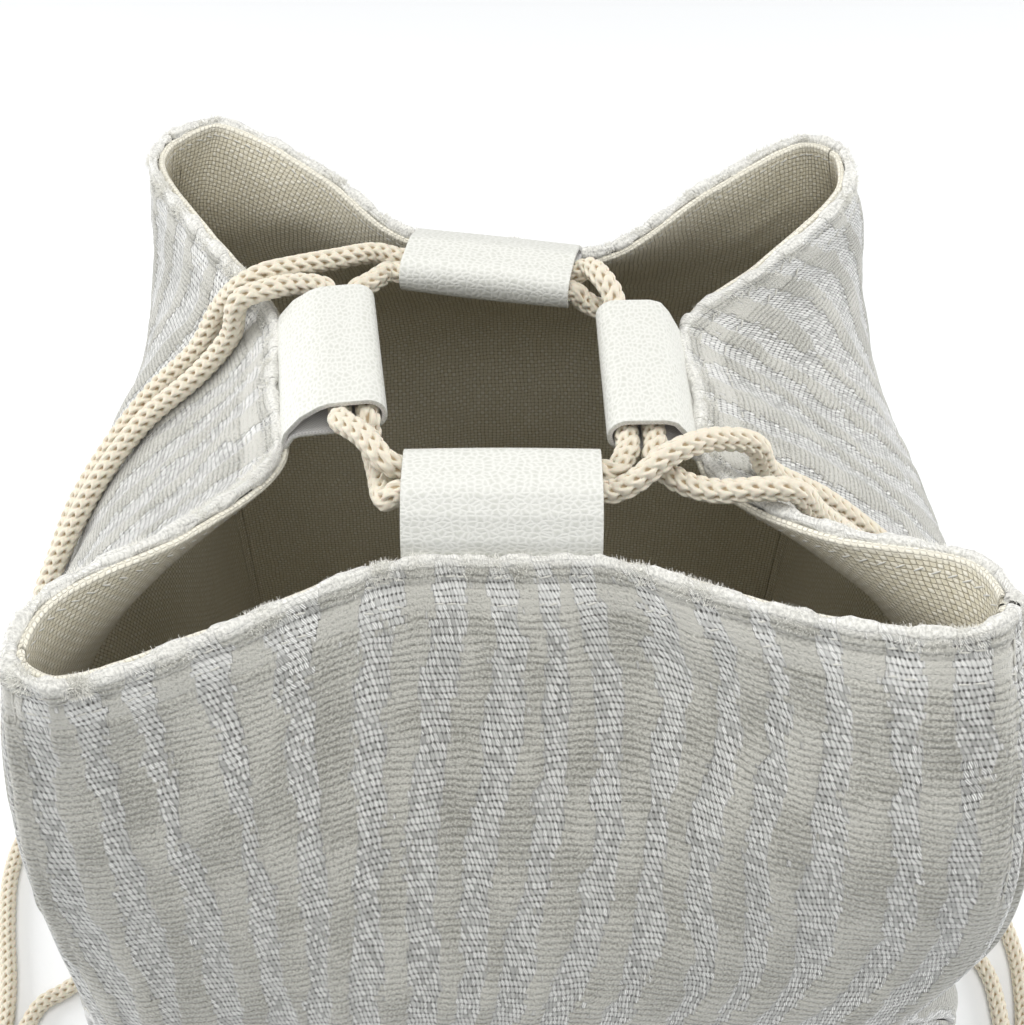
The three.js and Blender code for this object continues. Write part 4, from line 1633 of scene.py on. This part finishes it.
REST = 2.8
TAILS = (
    Tail("cord_a_tail_back", Side.LEFT, "left", -2.8,
         ((-54.15, 31.6, 226.8), (-58, 30.3, 226.6), (-63.5, 29.6, 224)),
         ((0.31, 7.55), (0.325, 7.0), (0.355, 6.5), (0.4, 6.1), (0.44, 5.6), (0.475, 5.1), (0.5, 4.6),
          (0.515, 4.1)),
         ((-124, -4, 108), (-126, 3, 78), (-130, 12, 46), (-137, 20, 20), (-147, 24, 6), (-159, 21, REST),
          (-167.5, 11, REST), (-169.5, -4, REST), (-166, -24, REST), (-160.5, -44, REST), (-157.8, -60, REST),
          (-156.8, -72, REST)),
         run="cord_a_back_left", run_tab=Side.BACK,
         run_over=((-33, 40.5, 224.8), (-42, 36.5, 226), (-48, 33.9, 226.6), (-53.85, 31.7, 226.8))),
    Tail("cord_a_tail_left", Side.LEFT, "left", 2.8,
         ((-43.8, 26.2, 225.2), (-49.5, 26.6, 226), (-56.5, 24.6, 226.2), (-63.5, 23, 224)),
         ((0.355, 7.5), (0.37, 6.95), (0.4, 6.45), (0.445, 6.05), (0.485, 5.55), (0.52, 5.05), (0.55, 4.55),
          (0.57, 4.05)),
         ((-124, -16, 108), (-125, -21, 78), (-127, -27, 46), (-130, -34, 20), (-134, -40, 6),
          (-141.5, -45.5, REST), (-148.5, -50.5, REST), (-151.8, -60, REST), (-151.3, -72, REST)),
         tab=Side.LEFT),
    Tail("cord_b_tail_front", Side.RIGHT, "right", 2.8,
         ((44.65, -27.9, 228.3), (47.8, -26.9, 227), (51, -26.2, 224.4)),
         ((0.382, 7.55), (0.386, 7.05), (0.376, 6.55), (0.36, 6.05), (0.345, 5.55), (0.335, 5.05),
          (0.33, 4.55), (0.33, 4.05)),
         ((124, -37, 108), (126, -29, 78), (129.5, -20, 46), (135.5, -12, 20), (144, -8.5, 6),
          (153.5, -10, REST), (160.5, -19, REST), (163, -33, REST), (161.3, -50, REST), (158.3, -63, REST),
          (156.8, -72, REST)),
         run="cord_b_front_right", run_tab=Side.FRONT,
         run_over=((24, -38.5, 226), (31.5, -34.5, 230.2), (39.5, -30, 230), (44.35, -28, 228.4))),
    Tail("cord_b_tail_right", Side.RIGHT, "right", -2.8,
         ((29.5, -29, 224.1), (34, -36, 224.3), (41, -40.3, 225.8), (49, -41.5, 227.6), (56.5, -41, 226.6)),
         ((0.27, 7.65), (0.3, 7.15), (0.312, 6.6), (0.308, 6.05), (0.3, 5.55), (0.293, 5.05), (0.29, 4.55),
          (0.288, 4.05)),
         ((123, -50, 108), (126, -45, 78), (130, -38, 46), (135, -31, 20), (141, -28, 6), (148, -31, REST),
          (152.6, -41, REST), (152.8, -57, REST), (151.3, -72, REST)),
         tab=Side.RIGHT),
)


@dataclass
class Lacing:
    """Both drawcords: their runs from tab to tab, their tails and their knots."""

    loft: WallLoft
    tabs: dict[Side, Tab]
    sizes: CordSizes
    material: bpy.types.Material

    CROSS_RISE = 4.6
    CROSS_SAG = 3.6
    LEGS = (3.15, 11.575, 17.0)
    TAIL_LEGS = (*LEGS, 20.0, 22.0)
    LOOSE_AT = 23.5
    # Shares of a run's rise at the tab's edge, just past it, and added at its middle
    RISE_SHARES = (0.15, 0.65, 0.35)
    WALL_REST = 3.4
    KNOTS = {"left": (-154.0, -90.0), "right": (154.0, -90.0)}
    RUN_LEAVES = 21.0
    RUN_FIXED = 0.15
    PATH_STRIDE = 6
    KNOT_HALF = 10.0
    KNOT_TURNS = 2.6
    KNOT_COIL = 4.95
    KNOT_WIDTH = 13.2
    KNOT_UP = 7.5
    KNOT_IN = ((1.0, 9.5, 6.0), (3.6, 8.6, 6.8))
    KNOT_OUT = ((1.0, -9.0, 7.0), (-1.4, -13.5, 5.4), (-2.4, -18.0, 3.2))
    KNOT_OTHER = ((2.8, 9.8, 5.0), (1.2, 4, 7.0), (0.8, -4, 7.2), (2.0, -10, 5.6), (3.2, -14.0, 3.6),
                  (3.8, -17.0, 2.9))
    INTO_KNOT = 5.0
    KNOT_GAPS = (4.0, 0.3)

    RUNS = (
        ("cord_a_back_right", Side.BACK, "outer", Side.RIGHT, "inner", CROSS_RISE, "corner_back_right"),
        ("cord_a_front_right", Side.RIGHT, "inner", Side.FRONT, "inner", 0.0, "corner_front_right"),
        ("cord_a_front_left", Side.FRONT, "inner", Side.LEFT, "outer", CROSS_RISE, "corner_front_left"),
        ("cord_b_front_left", Side.FRONT, "outer", Side.LEFT, "inner", -CROSS_SAG, "corner_front_left"),
        ("cord_b_back_left", Side.LEFT, "inner", Side.BACK, "inner", 0.0, "corner_back_left"),
        ("cord_b_back_right", Side.BACK, "inner", Side.RIGHT, "outer", -CROSS_SAG, "corner_back_right"),
    )

    def _corner(self, side_a: Side, line_a: str, side_b: Side, line_b: str, rise: float) -> Array:
        """Draws a run's line round one corner of the mouth.

        Args:
            side_a: side of the tab where it starts.
            line_a: inner or outer, its place in that tab.
            side_b: side of the tab where it ends.
            line_b: inner or outer, its place in that tab.
            rise: how far its middle rises over the tabs' cords, in mm, or below 0 for a sag.

        Returns:
            The line's points in mm.
        """
        a, b = self.tabs[side_a], self.tabs[side_b]
        la, lb = getattr(a, line_a + "_line"), getattr(b, line_b + "_line")
        edge = a.sizes.width / 2 + (1 if rise < 0 else 0)
        up = a.sizes.cord_up
        at_edge, past_edge, to_middle = self.RISE_SHARES
        first = a.leg(-1, la, self.LEGS) + [a.place(-edge, la, up + max(0.0, at_edge * rise))]
        last = b.leg(1, lb, self.LEGS) + [b.place(edge, lb, up + max(0.0, at_edge * rise))]
        leaving = a.place(-self.LOOSE_AT, la, up + past_edge * rise)
        arriving = b.place(self.LOOSE_AT, lb, up + past_edge * rise)
        middle = (leaving + arriving) / 2 + np.array([0, 0, to_middle * rise])
        return centripetal(np.array(first + [leaving, middle, arriving] + last[::-1]))

    def _tail_points(self, tail: Tail) -> tuple[list[Array], list[Array]]:
        """Lists the points that a tail passes through.

        Args:
            tail: the tail's route.

        Returns:
            The points of its first stretch, to the rim, and of the rest of it.
        """
        run: list[Array] = []
        start: list[Array] = []
        if tail.run_tab is not None:
            tab = self.tabs[tail.run_tab]
            run = tab.leg(1, tab.outer_line, self.TAIL_LEGS) + [np.array(p) for p in tail.run_over]
        else:
            tab = self.tabs[tail.tab]
            start = tab.leg(-1, tab.outer_line, self.TAIL_LEGS)
        u = np.array([tail.wall + s for s, _ in tail.on_wall])
        v = np.array([level for _, level in tail.on_wall])
        wall = list(self.loft.inside(u, v, -self.WALL_REST))
        kx, ky = self.KNOTS[tail.knot]
        ends = [np.array([kx + tail.beside, ky + self.KNOT_HALF + gap, self.INTO_KNOT])
                for gap in self.KNOT_GAPS]
        rest = [np.array(p, float) for p in tail.over] + wall + [np.array(p, float) for p in tail.down] + ends
        return run, start + rest

    def build(self) -> None:
        """Makes every piece of cord and the knots."""
        for node, side_a, line_a, side_b, line_b, rise, body in self.RUNS:
            tube = KnittedTube(self._corner(side_a, line_a, side_b, line_b, rise), self.sizes)
            self._piece(tube.rings(), node, body=body)
        for tail in TAILS:
            self._tail(tail)
        for name, (x, y) in self.KNOTS.items():
            self._knot(name, x, y)

    def _piece(self, shape: Shape, node: str, body: str | None = None) -> bpy.types.Object:
        """Makes one piece of cord.

        Args:
            shape: the piece's shape.
            node: the CAD node that it replaces.
            body: the body that it rides, or None for none.

        Returns:
            The piece.
        """
        piece = shape.object(node.replace("cord", "knit"), self.material)
        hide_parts(node)
        if body:
            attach(piece, body)
        return piece

    def _tail(self, tail: Tail) -> None:
        """Makes one tail, cut at the rim into its first stretch and the rest.

        Args:
            tail: the tail's route.
        """
        run, rest = self._tail_points(tail)
        tube = KnittedTube(centripetal(np.array(run + rest)), self.sizes)
        cut = 0
        start, end = WallPanel.BLENDS[tail.wall]
        if run:
            cut = int(np.argmin(np.linalg.norm(tube.line - (run[-1] + rest[0]) / 2, axis=1)))
            first = self._piece(tube.rings(0, cut + 1), tail.run)
            tab = self.tabs[tail.run_tab]
            leaves = tab.place(self.RUN_LEAVES, tab.outer_line, tab.sizes.cord_up)
            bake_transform(first)
        piece = self._piece(tube.rings(cut, None), tail.node)
        path = [tuple(p * MM) for p in tube.line[cut::self.PATH_STRIDE]] + [tuple(tube.line[-1] * MM)]
        length = float(np.linalg.norm(np.diff(np.array(path), axis=0), axis=1).sum())
        tuple(np.array(start) * MM)
        tuple(np.array(end) * MM)
        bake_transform(piece)
        tuple(path[0])
        log.info("%s: %.0f mm long", tail.node, length / MM)

    def _knot(self, name: str, x: float, y: float) -> None:
        """Ties both ends in one knot: three turns of cord round the ends, which stick out.

        Args:
            name: left or right.
            x: middle of the knot, in mm.
            y: middle of the knot, in mm.
        """
        middle = np.array([x, y, 0.0])
        angle = np.linspace(0, 2 * math.pi * self.KNOT_TURNS, 90)
        drift = self.KNOT_WIDTH * (0.5 - angle / angle[-1])
        coil = np.stack([np.cos(angle), drift * 0, np.sin(angle)], -1) * self.KNOT_COIL
        coil = middle + coil + np.stack([drift * 0, drift, drift * 0 + self.KNOT_UP], -1)
        lines = (np.concatenate([middle + np.array(self.KNOT_IN), coil, middle + np.array(self.KNOT_OUT)]),
                 middle + np.array(self.KNOT_OTHER))
        shapes = [KnittedTube(centripetal(line, 6), self.sizes).rings() for line in lines]
        piece = Shape.joined(shapes).object(f"knitted_knot_{name}", self.material)
        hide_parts(f"knot_{name}")
        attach(piece, "bag")


# Studio


@dataclass(frozen=True)
class PhotoCamera:
    """Camera at the photograph's place."""

    eye: tuple[float, float, float] = (0.0, -0.2283, 0.4212)
    target: tuple[float, float, float] = (0.0, 0.0, 0.1763)
    focal_px: float = 1353.0
    width_px: float = 1024.0

    def build(self) -> None:
        """Makes the camera and gives it to the scene."""
        data = bpy.data.cameras.new("camera")
        data.sensor_width = 36.0
        data.lens = self.focal_px / self.width_px * data.sensor_width
        data.clip_start, data.clip_end = 0.01, 20.0
        camera = bpy.data.objects.new("camera", data)
        camera.location = self.eye
        camera.rotation_euler = (Vector(self.target) - Vector(self.eye)).to_track_quat("-Z", "Y").to_euler()
        bpy.context.scene.collection.objects.link(camera)
        bpy.context.scene.camera = camera


@dataclass(frozen=True)
class Lamp:
    """A round soft lamp, with places and its diameter in metres."""

    name: str
    place: tuple[float, float, float]
    target: tuple[float, float, float]
    size: float
    watts: float
    colour: Rgb = (1.0, 1.0, 1.0)

    def build(self) -> None:
        """Hangs the lamp, facing its target."""
        data = bpy.data.lights.new(self.name, "AREA")
        data.shape, data.size, data.energy, data.color = "DISK", self.size, self.watts, self.colour
        lamp = bpy.data.objects.new(self.name, data)
        lamp.location = self.place
        lamp.rotation_euler = (Vector(self.target) - Vector(self.place)).to_track_quat("-Z", "Y").to_euler()
        bpy.context.scene.collection.objects.link(lamp)


@dataclass(frozen=True)
class Studio:
    """White floor, pale world and soft lamps."""

    world: float = 0.42
    sky: tuple[float, float, float, float] = (0.98, 0.99, 1.0, 1.0)
    floor: Rgb = (0.92, 0.93, 0.94)
    floor_half_mm: float = 15e3
    floor_gap_mm: float = 0.05

    LAMPS = (
        Lamp("top", (0.0, 0.02, 1.3), (0.0, 0.0, 0.12), 0.9, 8.0, (1.0, 0.99, 0.97)),
        Lamp("front", (0.0, -0.6, 0.95), (0.0, 0.0, 0.2), 0.5, 1.5),
        Lamp("left", (-1.15, 0.1, 0.5), (0.0, 0.0, 0.12), 0.8, 9.8),
        Lamp("right", (1.15, 0.15, 0.5), (0.0, 0.0, 0.12), 0.8, 7.8),
    )

    def build(self) -> None:
        """Makes the floor, the world and the lamps."""
        scene = bpy.context.scene
        scene.view_settings.view_transform = "Standard"
        world = bpy.data.worlds.new("studio")
        world.use_nodes = True
        background = world.node_tree.nodes["Background"]
        background.inputs[0].default_value = self.sky
        background.inputs[1].default_value = self.world
        scene.world = world
        self._floor()
        for lamp in self.LAMPS:
            lamp.build()

    def _floor(self) -> None:
        """Lays the floor just under the bag."""
        corners = np.array([[-1, -1, 0], [1, -1, 0], [1, 1, 0], [-1, 1, 0]]) * self.floor_half_mm
        corners[:, 2] -= self.floor_gap_mm
        shape = Shape(corners, np.array([[0, 1, 2, 3]]), corners[:, :2].copy(), {})
        floor = shape.object("floor", PlainFinish("floor_white", self.floor, 0.01).material())


# The whole bag


@dataclass(frozen=True)
class TabPlan:
    """Where one tab points and how long it is."""

    side: Side
    length: float
    turn: float


class DrawstringBag:
    """All pieces of the bag."""

    TABS = (
        TabPlan(Side.FRONT, 24.0, 0.0),
        TabPlan(Side.RIGHT, 21.5, 91.0),
        TabPlan(Side.BACK, 28.0, 170.0),
        TabPlan(Side.LEFT, 25.0, -82.0),
    )

    def build(self) -> None:
        """Makes the cords, the cloth and the tabs."""
        loft = WallLoft()
        sizes = ClothSizes()
        tabs = {p.side: Tab(loft, p.side, p.length, p.turn, TabSizes()) for p in self.TABS}
        Lacing(loft, tabs, CordSizes(), CottonFinish().material()).build()
        velvet, linen = VelvetFinish().material(), LinenFinish().material()
        thread = PlainFinish("thread", (0.66, 0.65, 0.60), 0.2).material()
        board = PlainFinish("fibre_board", (0.48, 0.40, 0.29), 0.4).material()
        fibre = PlainFinish("fibre", (0.88, 0.87, 0.82), 0.1).material()
        leather, backing = LeatherFinish().material(), BackingFinish().material()
        for side in Side:
            WallPanel(loft, side, sizes).build(velvet, linen, thread, fibre)
            tabs[side].build(leather, backing)
        Base(loft, sizes).build(velvet, linen, board)


def main() -> None:
    """Builds the scene."""
    PhotoCamera().build()
    DrawstringBag().build()
    Studio().build()


if __name__ == "__main__":
    main()
